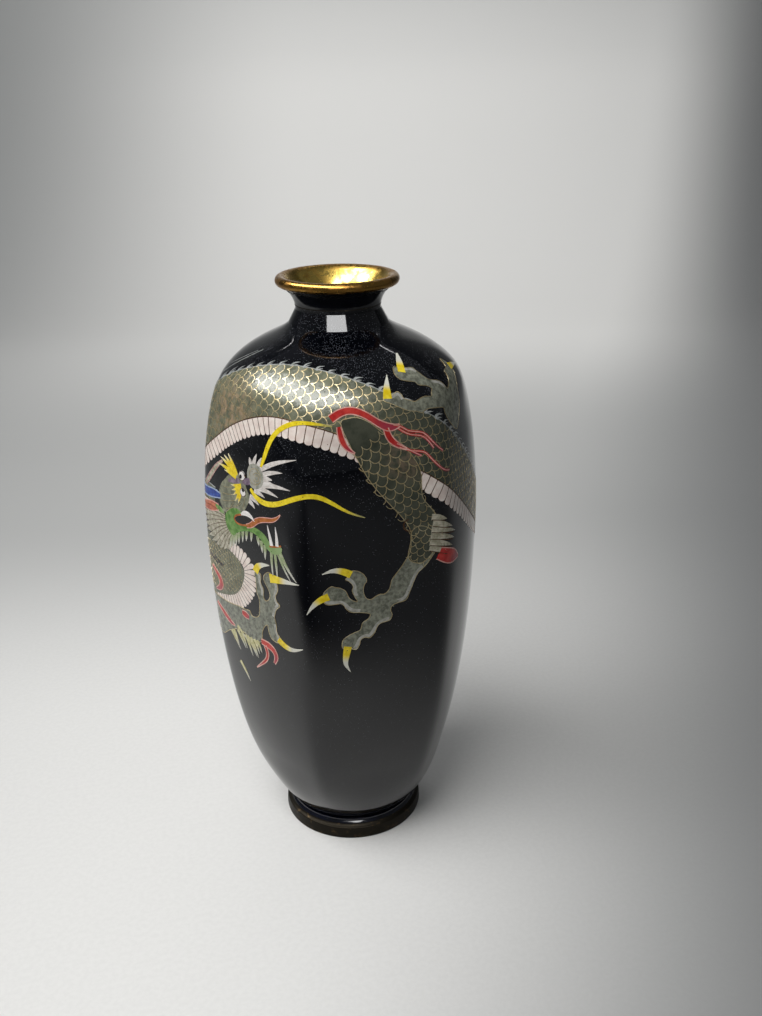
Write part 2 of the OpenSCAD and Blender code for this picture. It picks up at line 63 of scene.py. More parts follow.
DRAWN_HEIGHT = 240.0                       # height that the sizes below are drawn for
UNIT = (cad_box[1].z - cad_box[0].z) / DRAWN_HEIGHT
GIRTH = 54.0                               # radius at which the flat drawing is true
PICTURE_TURN = math.radians(-12.5)
RIGHT = Vector((math.cos(PICTURE_TURN), math.sin(PICTURE_TURN), 0))
AWAY = Vector((-math.sin(PICTURE_TURN), math.cos(PICTURE_TURN), 0))
HEX_AMOUNT, HEX_POWER = 0.62, 24
GLAZE_DEPTH = 0.85
BODY_FOOT, BORDER, GLAZE_TOP = 8.7, 229.0, 236.3

CORNER_OUTLINE = [
    (21, 3), (28.6, 10), (35.8, 20), (42.9, 34), (48.9, 56), (53.6, 86),
    (56.1, 118), (56.9, 150), (54.9, 176), (51.3, 194), (47.2, 204),
    (37.9, 212), (28.6, 217), (21.3, 220), (16.9, 224), (15.9, 229),
    (19, 235), (26, 239)]


def spline(net, shares):
    """Points of a clamped uniform cubic B-spline at shares of its length, 0 to 1."""
    net = np.asarray(net, float)
    net = np.vstack([2 * net[0] - net[1], net, 2 * net[-1] - net[-2]])
    t = np.clip(shares, 0, 1) * (len(net) - 3)
    i = np.minimum(t.astype(int), len(net) - 4)
    f = (t - i)[:, None]
    return (net[i] * (1 - f) ** 3 + net[i + 1] * (3 * f ** 3 - 6 * f ** 2 + 4)
            + net[i + 2] * (-3 * f ** 3 + 3 * f ** 2 + 3 * f + 1) + net[i + 3] * f ** 3) / 6


outline = spline(CORNER_OUTLINE, np.linspace(0, 1, 1401))
outline_r, outline_z = outline.T
run = np.gradient(outline, axis=0)
run /= np.linalg.norm(run, axis=1)[:, None]
outline_out, outline_up = run[:, 1], -run[:, 0]
outline_s = np.append(0, np.cumsum(np.linalg.norm(np.diff(outline, axis=0), axis=1)))


def up_outline(z):
    """Length up the outline at a height."""
    return np.interp(z, outline_z, outline_s)


def smooth(x):
    x = np.clip(x, 0, 1)
    return x * x * (3 - 2 * x)


def soft_hex(angle):
    """Radius of a hexagon with rounded corners, by angle; 1 at the corners."""
    def total(a):
        return sum(np.abs(np.cos(a - i * math.pi / 3)) ** HEX_POWER for i in range(3))
    return (total(angle) / total(math.pi / 6)) ** (-1 / HEX_POWER)


def on_vase(points):
    """Lays points of the drawing, or of any (x, y, lift), on the vase, in metres."""
    x, s, lift = np.asarray(points, float).T
    angle = x / GIRTH
    z = np.interp(s, outline_s, outline_z)
    r = np.interp(s, outline_s, outline_r) + lift * np.interp(s, outline_s, outline_out)
    share = HEX_AMOUNT * smooth((z - 9) / 34) * smooth((216 - z) / 34)
    r *= 1 - share + share * soft_hex(angle)
    z = z + lift * np.interp(s, outline_s, outline_up)
    return np.stack([r * np.sin(angle), -r * np.cos(angle), z], 1) * UNIT


# ---------------------------------------------------------------- materials

def colour(red, green, blue):
    """A colour written as 0 to 255, as the linear value that a shader needs."""
    return tuple(((c / 255 + 0.055) / 1.055) ** 2.4 if c > 10 else c / 3294.6
                 for c in (red, green, blue)) + (1.0,)


class Tree:
    """Short ways to add nodes to a tree. A value may be a socket or a constant."""

    def __init__(self, tree):
        self.tree = tree

    def node(self, kind, **settings):
        made = self.tree.nodes.new(kind)
        for name, value in settings.items():
            setattr(made, name, value)
        return made

    def feed(self, socket, value):
        if isinstance(value, bpy.types.NodeSocket):
            self.tree.links.new(value, socket)
        elif value is not None:
            socket.default_value = value

    def calc(self, operation, a, b=None):
        made = self.node("ShaderNodeMath", operation=operation)
        self.feed(made.inputs[0], a)
        self.feed(made.inputs[1], b)
        return made.outputs[0]

    def remap(self, value, low, high, to_low=0.0, to_high=1.0):
        made = self.node("ShaderNodeMapRange", interpolation_type="SMOOTHSTEP")
        for socket, given in zip(made.inputs, (value, low, high, to_low, to_high)):
            self.feed(socket, given)
        return made.outputs[0]

    def vector(self, operation, a, b=None):
        """A vector sum; the result is a number where the operation gives one."""
        made = self.node("ShaderNodeVectorMath", operation=operation)
        self.feed(made.inputs[0], a)
        self.feed(made.inputs[1], b)
        return next(s for s in made.outputs if s.enabled)

    def mix(self, factor, a, b):
        made = self.node("ShaderNodeMix", data_type="RGBA")
        self.feed(made.inputs[0], factor)
        self.feed(made.inputs[6], a)
        self.feed(made.inputs[7], b)
        return made.outputs[2]

    def place(self):
        return self.node("ShaderNodeTexCoord").outputs["Object"]

    def noise(self, where, per_metre, detail=3.0, rough=0.55):
        made = self.node("ShaderNodeTexNoise")
        self.feed(made.inputs["Vector"], where)
        self.feed(made.inputs["Scale"], per_metre)
        self.feed(made.inputs["Detail"], detail)
        self.feed(made.inputs["Roughness"], rough)
        return made.outputs[0]

    def cells(self, where, per_metre):
        """Distance from the middle of a random cell, and a random number for it."""
        made = self.node("ShaderNodeTexVoronoi")
        self.feed(made.inputs["Vector"], where)
        self.feed(made.inputs["Scale"], per_metre)
        apart = self.node("ShaderNodeSeparateColor")
        self.feed(apart.inputs[0], made.outputs["Color"])
        return made.outputs["Distance"], apart.outputs[0]

    def bump(self, height, strength, metres):
        made = self.node("ShaderNodeBump")
        self.feed(made.inputs["Strength"], strength)
        self.feed(made.inputs["Distance"], metres)
        self.feed(made.inputs["Height"], height)
        return made.outputs["Normal"]


def new_group(name, inputs, outputs):
    """An empty shader group: inputs are (name, kind, value), outputs (name, kind)."""
    group = bpy.data.node_groups.new(name, "ShaderNodeTree")
    for socket, kind, value in inputs:
        made = group.interface.new_socket(socket, in_out="INPUT", socket_type="NodeSocket" + kind)
        made.default_value = value
    for socket, kind in outputs:
        group.interface.new_socket(socket, in_out="OUTPUT", socket_type="NodeSocket" + kind)
    tree = Tree(group)
    return group, tree, tree.node("NodeGroupInput").outputs, tree.node("NodeGroupOutput").inputs


def make_glaze_group():
    """Fired and polished enamel: clouding, small dark pits and an uneven gloss."""
    group, tree, given, result = new_group(
        "fired_glaze",
        [("Deep", "Color", (0, 0, 0, 1)), ("Light", "Color", (1, 1, 1, 1)),
         ("Cloud size", "Float", 0.004), ("Pit spacing", "Float", 0.001),
         ("Pit share", "Float", 0.2), ("Pit colour", "Color", (0, 0, 0, 1)),
         ("Gloss", "Float", 0.1), ("Waviness", "Float", 0.2)],
        [("Colour", "Color"), ("Roughness", "Float"), ("Normal", "Vector")])
    where = tree.place()
    cloud = tree.noise(where, tree.calc("DIVIDE", 1.0, given["Cloud size"]), 4.0)
    cloud = tree.remap(cloud, 0.32, 0.68)
    base = tree.mix(cloud, given["Deep"], given["Light"])
    apart, chance = tree.cells(where, tree.calc("DIVIDE", 1.0, given["Pit spacing"]))
    size = tree.calc("MULTIPLY", tree.noise(where, 900.0, 1.0), 0.42)
    inside = tree.remap(apart, tree.calc("MULTIPLY", size, 0.55), size, 1.0, 0.0)
    chosen = tree.calc("LESS_THAN", chance, given["Pit share"])
    pits = tree.calc("MULTIPLY", inside, chosen)
    tree.feed(result["Colour"], tree.mix(pits, base, given["Pit colour"]))
    rough = tree.calc("MULTIPLY", given["Gloss"],
                      tree.remap(tree.noise(where, 260.0, 3.0), 0.25, 0.75, 0.6, 1.5))
    tree.feed(result["Roughness"], tree.calc("MAXIMUM", rough, tree.calc("MULTIPLY", pits, 0.5)))
    height = tree.calc("SUBTRACT", tree.noise(where, 420.0, 2.0), pits)
    tree.feed(result["Normal"], tree.bump(height, given["Waviness"], 0.0002))
    return group


def make_metal_group():
    """Worn metal: bright where rubbed, dull and speckled where tarnished."""
    group, tree, given, result = new_group(
        "metal_wear",
        [("Bright", "Color", (1, 1, 1, 1)), ("Tarnish", "Color", (0, 0, 0, 1)),
         ("Patch size", "Float", 0.004), ("Tarnish share", "Float", 0.5),
         ("Speck share", "Float", 0.2), ("Bright roughness", "Float", 0.2),
         ("Dull roughness", "Float", 0.5)],
        [("Colour", "Color"), ("Roughness", "Float"), ("Normal", "Vector")])
    where = tree.place()
    patch = tree.noise(where, tree.calc("DIVIDE", 1.0, given["Patch size"]), 5.0, 0.65)
    low = tree.calc("SUBTRACT", 0.85, given["Tarnish share"])
    worn = tree.remap(patch, low, tree.calc("ADD", low, 0.22))
    apart, chance = tree.cells(where, 1500.0)
    speck = tree.calc("MULTIPLY", tree.remap(apart, 0.14, 0.34, 1.0, 0.0),
                      tree.calc("LESS_THAN", chance, given["Speck share"]))
    dull = tree.calc("MAXIMUM", worn, speck)
    tree.feed(result["Colour"], tree.mix(dull, given["Bright"], given["Tarnish"]))
    spread = tree.calc("SUBTRACT", given["Dull roughness"], given["Bright roughness"])
    tree.feed(result["Roughness"], tree.calc(
        "ADD", given["Bright roughness"], tree.calc("MULTIPLY", dull, spread)))
    height = tree.calc("SUBTRACT", tree.noise(where, 1500.0, 2.0), speck)
    tree.feed(result["Normal"], tree.bump(height, 0.25, 0.00008))
    return group


GLAZE, METAL = make_glaze_group(), make_metal_group()


def new_material(name):
    material = bpy.data.materials.new(name)
    material.use_nodes = True
    tree = Tree(material.node_tree)
    return material, tree, material.node_tree.nodes["Principled BSDF"]


def place_group(tree, group, **values):
    made = tree.node("ShaderNodeGroup", node_tree=group)
    for name, value in values.items():
        tree.feed(made.inputs[name.replace("_", " ")], value)
    return made.outputs


def enamel(name, deep, light, cloud=3.0, pits=0.12, pit_colour=(18, 16, 14), gloss=0.12,
           waves=0.18, tip=None, tip_from=0.4, tip_to=0.9, stripes=0.0, paint=None):
    """A glaze between two colours. It may run to a third towards the tip of each
    shape, carry fine dark hair lines along it, or be painted further by `paint`."""
    material, tree, shader = new_material(name)
    deep, light = colour(*deep), colour(*light)
    if tip or stripes:
        uv = tree.node("ShaderNodeSeparateXYZ")
        tree.feed(uv.inputs[0], tree.node("ShaderNodeUVMap", uv_map="UVMap").outputs[0])
        along, across = uv.outputs[0], uv.outputs[1]
    if tip:
        share = tree.remap(along, tip_from, tip_to)
        deep = tree.mix(share, deep, colour(*tip))
        light = tree.mix(share, light, colour(*tip))
    glaze = place_group(tree, GLAZE, Deep=deep, Light=light, Cloud_size=cloud / 1000,
                        Pit_share=pits, Pit_colour=colour(*pit_colour), Gloss=gloss,
                        Waviness=waves)
    base = glaze["Colour"]
    if stripes:
        wave = tree.calc("SINE", tree.calc("MULTIPLY", across, 2 * math.pi * 3))
        base = tree.mix(tree.remap(wave, 0.4, 1.0, 0.0, stripes), base, colour(52, 48, 38))
    if paint:
        base = paint(tree, base)
    tree.feed(shader.inputs["Base Color"], base)
    tree.feed(shader.inputs["Roughness"], glaze["Roughness"])
    tree.feed(shader.inputs["Normal"], glaze["Normal"])
    return material


def metal(name, bright, tarnish, patch=4.0, worn=0.45, specks=0.2, polished=0.2, dull=0.5,
          paint=None):
    material, tree, shader = new_material(name)
    wear = place_group(tree, METAL, Bright=colour(*bright), Tarnish=colour(*tarnish),
                       Patch_size=patch / 1000, Tarnish_share=worn, Speck_share=specks,
                       Bright_roughness=polished, Dull_roughness=dull)
    base = paint(tree, wear["Colour"]) if paint else wear["Colour"]
    tree.feed(shader.inputs["Base Color"], base)
    tree.feed(shader.inputs["Roughness"], wear["Roughness"])
    tree.feed(shader.inputs["Normal"], wear["Normal"])
    shader.inputs["Metallic"].default_value = 1.0
    return material


def amber_lip(tree, base):
    """Browns a brass rim on its rolled lip and leaves the throat bright."""
    radius = tree.vector("LENGTH", tree.vector("MULTIPLY", tree.place(), (1, 1, 0)))
    lip = tree.remap(radius, 18.2 * UNIT, 21.2 * UNIT, 0, 0.9)
    return tree.mix(lip, base, colour(150, 108, 52))


def painted_right_shade_and_stain(tree, base):
    """Paints shade on the scales, darker towards the right side away from the lamp, and rubs a
    brown patch into the shoulder.
    """
    across = tree.vector("DOT_PRODUCT", tree.place(), RIGHT)
    # painted shade: the scales darken towards the right, the side turned from the lamp
    share = tree.remap(across, 0.004, 0.032, 0.0, 0.8)
    return shoulder_stain(tree, tree.mix(share, base, colour(58, 62, 52)))


def pit_specks_and_glints(tree, base):
    """Pale specks for pits in the glaze, painted as the glints they catch from the lamp, thickest
    on the neck and shoulder.
    """
    where = tree.place()
    height = tree.node("ShaderNodeSeparateXYZ")
    tree.feed(height.inputs[0], where)
    high = tree.remap(height.outputs[2], 0.150, 0.212, 0.08, 0.62)
    drift = tree.remap(tree.noise(where, 70.0, 2.0), 0.35, 0.7, 0.2, 1.3)
    apart, chance = tree.cells(where, 2500.0)
    chosen = tree.calc("LESS_THAN", chance, tree.calc("MULTIPLY", high, drift))
    shown = tree.calc("MULTIPLY", tree.remap(apart, 0.08, 0.34, 1.0, 0.0), chosen)
    # painted highlights: the pale specks stand for glints on the pits, denser higher up
    return tree.mix(tree.calc("MULTIPLY", shown, 0.7), base, colour(140, 142, 150))


def stain(angle, height, size, tint, strength):
    """Returns a painter that rubs a soft brown patch into a glaze at one place."""
    middle = on_vase([(math.radians(angle) * GIRTH + PICTURE_TURN * GIRTH,
                       up_outline(height), 0)])[0]

    def paint(tree, base):
        away = tree.vector("DISTANCE", tree.place(), middle)
        near = tree.remap(away, size * 0.25, size, strength, 0.0)
        patchy = tree.remap(tree.noise(tree.place(), 420.0, 3.0), 0.38, 0.62)
        return tree.mix(tree.calc("MULTIPLY", near, patchy), base, colour(*tint))
    return paint


shoulder_stain = stain(-57, 194, 0.018, (164, 140, 112), 0.9)
# The black ground carries pale specks for its pits, painted as the glints they catch.
black_glaze = enamel("black_ground_glaze", (3, 4, 8), (7, 8, 13), 18, 0.05, (0, 0, 0), 0.045,
                     0.03, paint=pit_specks_and_glints)
border_glaze = enamel("neck_border_glaze", (8, 9, 15), (16, 17, 26), 6, 0.1, (0, 0, 0), 0.07, 0.05)
navy_glaze = enamel("foot_navy_glaze", (6, 8, 18), (14, 17, 34), 6, 0.1, (0, 0, 0), 0.12, 0.1)
lining_glaze = enamel("inner_counter_glaze", (70, 84, 92), (98, 112, 118), 8, 0.2)
# The scale glaze carries painted shade towards the right and a brown patch on the shoulder.
scale_glaze = enamel("scale_grey_green_glaze", (90, 93, 76), (118, 120, 98), 4, 0.26,
                     (44, 42, 34), 0.24, 0.5, paint=painted_right_shade_and_stain)
thigh_glaze = enamel("thigh_dark_green_glaze", (56, 60, 49), (80, 82, 68), 5, 0.2, (30, 30, 26),
                     0.16, paint=stain(27, 181, 0.012, (120, 104, 86), 0.7))
limb_glaze = enamel("limb_mottled_grey_glaze", (94, 96, 84), (142, 144, 128), 1.6, 0.25,
                    (48, 46, 38), 0.16)
pebble_glaze = enamel("pebble_grey_glaze", (112, 113, 98), (134, 134, 116), 2, 0.1)
rim_glaze = enamel("limb_pale_grey_glaze", (150, 150, 140), (186, 184, 176), 2, 0.1)
spine_glaze = enamel("spine_silver_grey_glaze", (140, 144, 140), (176, 178, 176), 2, 0.1)
belly_glaze = enamel("belly_cream_pink_glaze", (230, 212, 202), (246, 234, 224), 3, 0.06,
                     (140, 110, 90), 0.14)
claw_glaze = enamel("claw_yellow_ivory_glaze", (226, 196, 24), (248, 224, 60), 2, 0.14,
                    (60, 50, 10), tip=(222, 220, 206), tip_from=0.3, tip_to=0.62)
flame_glaze = enamel("flame_red_glaze", (176, 38, 36), (206, 66, 58), 3, 0.16, (70, 16, 16),
                     tip=(168, 58, 74), tip_from=0.45, tip_to=0.9)
flame_edge = enamel("flame_edge_pink_glaze", (214, 150, 138), (232, 182, 168), 2, 0.1,
                    (110, 60, 50))
face_glaze = enamel("face_grey_green_glaze", (104, 106, 88), (146, 146, 124), 2.2, 0.2,
                    (60, 58, 44), 0.15)
nose_glaze = enamel("nose_grey_glaze", (132, 134, 120), (172, 170, 158), 2.5, 0.15)
bridge_glaze = enamel("bridge_mauve_glaze", (104, 86, 104), (148, 132, 146), 2, 0.15)
jaw_glaze = enamel("jaw_leaf_green_glaze", (72, 122, 38), (122, 160, 84), 2.2, 0.15,
                   (40, 60, 20), tip=(142, 166, 112), tip_from=0.55, tip_to=1.0)
mouth_glaze = enamel("mouth_black_glaze", (10, 8, 8), (22, 14, 12), 2, 0.05)
tongue_glaze = enamel("tongue_orange_brown_glaze", (150, 78, 28), (188, 112, 52), 2, 0.12)
white_glaze = enamel("white_glaze", (232, 226, 220), (246, 242, 238), 2, 0.05, (150, 140, 130),
                     0.12)
hair_glaze = enamel("hair_white_glaze", (206, 198, 190), (236, 230, 224), 1.6, 0.1,
                    (120, 112, 100), stripes=0.3)
mane_glaze = enamel("mane_beige_green_glaze", (150, 146, 122), (204, 196, 176), 1.6, 0.15,
                    (70, 66, 48), stripes=0.25)
fringe_glaze = enamel("fringe_pale_green_glaze", (138, 158, 106), (180, 184, 150), 1.4, 0.1,
                      (70, 80, 40), tip=(212, 210, 198), tip_from=0.3, tip_to=0.8, stripes=0.3)
straw_glaze = enamel("elbow_straw_glaze", (192, 184, 128), (222, 216, 170), 1.6, 0.15,
                     (90, 80, 40), tip=(206, 204, 190), stripes=0.3)
yellow_glaze = enamel("brow_yellow_glaze", (230, 196, 20), (250, 224, 50), 2, 0.1, (90, 70, 10),
                      tip=(232, 222, 180), tip_from=0.55, tip_to=0.95, stripes=0.2)
whisker_glaze = enamel("whisker_yellow_glaze", (228, 200, 26), (250, 226, 56), 2, 0.3,
                       (60, 48, 8), tip=(176, 170, 110), tip_from=0.8, tip_to=1.0)
pupil_glaze = enamel("pupil_black_glaze", (6, 6, 8), (14, 14, 16), 1, 0.02)
horn_glaze = enamel("horn_blue_glaze", (26, 50, 128), (56, 90, 176), 2.4, 0.15, (10, 18, 50))
horn_edge = enamel("horn_edge_pale_blue_glaze", (138, 158, 196), (170, 186, 212), 2, 0.1)
ear_glaze = enamel("ear_red_orange_glaze", (168, 72, 52), (206, 122, 84), 2, 0.15, (80, 30, 20))
curl_glaze = enamel("curl_pink_glaze", (168, 124, 118), (206, 172, 164), 1.6, 0.12)
rim_brass = metal("rim_gilt_brass", (234, 200, 104), (150, 120, 58), 4, 0.42, 0.12, 0.2, 0.4,
                  paint=amber_lip)
wire_metal = metal("gilt_wire", (232, 218, 178), (176, 158, 118), 2, 0.5, 0.1, 0.32, 0.5)
brown_wire = metal("brown_wire", (150, 112, 78), (84, 60, 44), 2, 0.6, 0.2, 0.4, 0.6)
ring_wire = metal("neck_ring_wire", (120, 112, 96), (60, 56, 52), 2, 0.6, 0.3, 0.35, 0.6)
foot_bronze = metal("foot_patinated_bronze", (98, 80, 56), (36, 33, 28), 4, 0.62, 0.4, 0.34, 0.5)
spun_copper = metal("spun_copper", (202, 132, 96), (112, 66, 44), 6, 0.5, 0.2, 0.3, 0.5)


# ---------------------------------------------------------------- making pieces

def finish_mesh(name, points, faces, uvs=None, sharp=35):
    mesh = bpy.data.meshes.new(name)
    mesh.from_pydata([tuple(p) for p in points], [], [tuple(f) for f in faces])
    if uvs is not None:
        layer = mesh.uv_layers.new(name="UVMap")
        corners = np.zeros(len(mesh.loops), int)
        mesh.loops.foreach_get("vertex_index", corners)
        layer.data.foreach_set("uv", np.asarray(uvs, np.float32)[corners].ravel())
    mesh.shade_smooth()
    mesh.set_sharp_from_angle(angle=math.radians(sharp))
    mesh.update()
    return mesh


def set_down(name, mesh, material, slot, *nodes):
    """Makes a finished mesh a piece of the vase."""
    piece = bpy.data.objects.new(name, mesh)
    bpy.context.scene.collection.objects.link(piece)
    mesh.materials.clear()
    mesh.materials.append(material)
    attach(piece, "root")
    if nodes:
        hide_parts(*nodes)
    return piece


def ring_of_rows(rows):
    """Faces of a closed surface from rows of points that all go once round."""
    count, columns = len(rows), len(rows[0])
    faces = []
    for i in range(count):
        for j in range(columns):
            n, k = (j + 1) % columns, (i + 1) % count
            faces.append((i * columns + j, i * columns + n, k * columns + n, k * columns + j))
    return faces


def shell(name, bottom, top, rows, material, slot, *nodes, columns=288, depth=GLAZE_DEPTH,
          lift=0.0):
    """A closed skin of glaze round the vase between two heights."""
    s0, s1 = up_outline(bottom), up_outline(top)
    around = np.linspace(0, 2 * math.pi * GIRTH, columns, endpoint=False)
    climb = [(s, lift) for s in np.linspace(s0, s1, rows)]
    climb += [(s, lift - depth) for s in np.linspace(s1, s0, max(3, rows // 8))]
    grid = [on_vase([(x, s, up) for x in around]) for s, up in climb]
    mesh = finish_mesh(name, np.concatenate(grid), ring_of_rows(grid))
    return set_down(name, mesh, material, slot, *nodes)


def turned(name, section, material, slot, *nodes, columns=192):
    """A piece turned on a lathe from a closed section of (radius, height), outer side up."""
    around = np.linspace(0, 2 * math.pi, columns, endpoint=False)
    grid = [np.stack([r * np.sin(around), -r * np.cos(around), np.full(columns, z)], 1) * UNIT
            for r, z in section]
    mesh = finish_mesh(name, np.concatenate(grid), ring_of_rows(grid), sharp=50)
    return set_down(name, mesh, material, slot, *nodes)


# ---------------------------------------------------------------- drawing

def to_plane(net):
    """Angles and heights as places on the flat drawing."""
    net = np.asarray(net, float)
    return np.stack([np.radians(net[:, 0]) * GIRTH, up_outline(net[:, 1])], 1)


def narrowing(plane):
    """How much narrower a stretch round the vase is than on the drawing."""
    return np.interp(plane[:, 1], outline_s, outline_r) / GIRTH


def ribbon(middle, left, right, cols=1, narrow=1.0):
    """A shape beside a line: flat points, faces and (along, across), where left and
    right are how far it reaches on the line's left side, in millimetres."""
    narrow = np.broadcast_to(narrow, len(middle))
    go = np.gradient(middle, axis=0)
    go[:, 0] *= narrow
    go /= np.linalg.norm(go, axis=1)[:, None] + 1e-12
    side = np.stack([-go[:, 1] / narrow, go[:, 0]], 1)
    left, right = np.broadcast_to(left, len(middle)), np.broadcast_to(right, len(middle))
    across = np.linspace(0, 1, cols + 1)
    reach = right[:, None] + (left - right)[:, None] * across
    flat = middle[:, None, :] + side[:, None, :] * reach[:, :, None]
    length = np.append(0, np.cumsum(np.linalg.norm(np.diff(middle, axis=0), axis=1)))
    uv = np.stack(np.broadcast_arrays((length / length[-1])[:, None], across), 2)
    w = cols + 1
    cells = [(i * w + c, (i + 1) * w + c, (i + 1) * w + c + 1, i * w + c + 1)
             for i in range(len(middle) - 1) for c in range(cols)]
    return flat.reshape(-1, 2), cells, uv.reshape(-1, 2)


def band(net, right=-1.0, left=1.0, right_mm=0.0, left_mm=0.0, first=0.0, last=1.0, step=1.0):
    """A shape along a net of (angle, height, half width), filled between two shares
    of the half width."""
    net = [tuple(p) for p in net]
    rough = to_plane(spline(net, np.linspace(first, last, 60)))
    rows = max(3, int(np.linalg.norm(np.diff(rough, axis=0), axis=1).sum() / step) + 1)
    places = spline(net, np.linspace(first, last, rows))
    middle, half = to_plane(places), places[:, 2]
    cols = max(1, int(round(abs(left - right) * half.max() / 1.4)))
    return ribbon(middle, half * left + left_mm, half * right + right_mm, cols,
                  narrowing(middle))


def line(points, width=0.36, step=0.8):
    """A wire along (angle, height) points."""
    return band([(a, z, width / 2) for a, z in points], step=step)


def circle(angle, height, radius, turns):
    """Places on a circle round an (angle, height) place."""
    return [(angle + math.degrees(radius * math.cos(a) / GIRTH), height + radius * math.sin(a))
            for a in turns]


def edges(net, width, sides=(-1, 1)):
    """Wires along the edges of a band."""
    return [band(net, side, side, -width / 2, width / 2, step=0.8) for side in sides]


def smooth_loop(corners):
    """A smooth closed line on the drawing through (angle, height) corners, and the
    same line one place on; it always turns to the left."""
    ring = to_plane(corners)
    count = len(ring)
    loop = []
    for i in range(count):
        a, b, c, d = (ring[(i + k) % count] for k in (-1, 0, 1, 2))
        for t in np.linspace(0, 1, 5)[:-1]:
            loop.append(0.5 * (2 * b + (c - a) * t + (2 * a - 5 * b + 4 * c - d) * t ** 2
                               + (3 * b - a - 3 * c + d) * t ** 3))
    loop = np.array(loop)
    after = np.roll(loop, -1, 0)
    if np.sum(loop[:, 0] * after[:, 1] - after[:, 0] * loop[:, 1]) < 0:
        loop = loop[::-1]
        after = np.roll(loop, -1, 0)
    return loop, after


def around(corners, width):
    """A wire round a filled shape."""
    loop, _ = smooth_loop(corners)
    loop = np.vstack([loop, loop[:1]])
    return ribbon(loop, width / 2, -width / 2, 1, narrowing(loop))


def rim_along(corners, first, last, width):
    """A strip just inside a stretch of an outline; a negative width lies on the right."""
    net = [(a, z, 0) for a, z in corners[first:last]]
    return band(net, 0, 0, 0.12 * np.sign(width), width, step=0.7)


def patch(corners, grain=1.3):
    """A filled shape inside a smooth closed line through (angle, height) corners."""
    loop, after = smooth_loop(corners)
    low, high = loop.min(0), loop.max(0)
    inner = []
    for x in np.arange(low[0], high[0], grain):
        for y in np.arange(low[1], high[1], grain):
            crossing = (loop[:, 1] > y) != (after[:, 1] > y)
            at = loop[:, 0] + (y - loop[:, 1]) * (after[:, 0] - loop[:, 0]) / (
                after[:, 1] - loop[:, 1] + 1e-12)
            inside = np.sum(crossing & (x < at)) % 2
            if inside and np.min(np.hypot(loop[:, 0] - x, loop[:, 1] - y)) > grain * 0.5:
                inner.append((x, y))
    places = [Vector(p) for p in loop] + [Vector(p) for p in inner]
    points, _, cells, *_ = delaunay_2d_cdt(places, [], [list(range(len(loop)))], 1, 1e-5)
    flat = np.array([tuple(p) for p in points])
    return flat, [tuple(c) for c in cells], (flat - low) / (high - low)


def spike(root, tip, half, bend=0.0):
    """A tapered hair from a root to a tip, bowed to its left by a share of its length."""
    root, tip = np.asarray(root, float), np.asarray(tip, float)
    d = tip - root
    bow = np.array([-d[1], d[0]]) * bend
    return band([(*root, half), (*(root + d * 0.35 + bow), half),
                 (*(root + d * 0.7 + bow * 0.8), half * 0.6), (*tip, 0.06)], step=0.9)


def fan(roots, tips, count, half, bend=0.0):
    """Spikes whose roots and tips are spread evenly along two lines."""
    shares = np.linspace(0, 1, count)
    starts, ends = spline(roots, shares), spline(tips, shares)
    return [spike(a, b, half, bend) for a, b in zip(starts, ends)]


def slab(shapes, lift, depth):
    """Gives flat shapes a thickness: points of (x, y, lift), faces and UVs."""
    points, faces, uvs = [], [], []
    for flat, cells, uv in shapes:
        base, n = len(points), len(flat)
        points += [(x, y, lift) for x, y in flat] + [(x, y, lift - depth) for x, y in flat]
        uvs += [tuple(p) for p in uv] * 2
        used = {(c[i], c[(i + 1) % len(c)]) for c in cells for i in range(len(c))}
        area = sum(flat[c[0]][0] * (flat[c[1]][1] - flat[c[-1]][1])
                   + flat[c[1]][0] * (flat[c[-1]][1] - flat[c[0]][1])
                   + flat[c[-1]][0] * (flat[c[0]][1] - flat[c[1]][1]) for c in cells)
        turn = 1 if area > 0 else -1
        for c in cells:
            faces.append([base + i for i in c][::turn])
            faces.append([base + n + i for i in c][::-turn])
        for a, b in sorted(used):
            if (b, a) not in used:
                faces.append([base + b, base + a, base + n + a, base + n + b][::turn])
    return points, faces, uvs


def inlay(name, shapes, lift, material, slot, *nodes, depth=0.25):
    """One piece of the picture, laid on the vase."""
    points, faces, uvs = slab(shapes, lift, depth)
    placed = on_vase(np.array(points) + [PICTURE_TURN * GIRTH, 0, 0])
    return set_down(name, finish_mesh(name, placed, faces, uvs), material, slot, *nodes)


# ---------------------------------------------------------------- what repeats

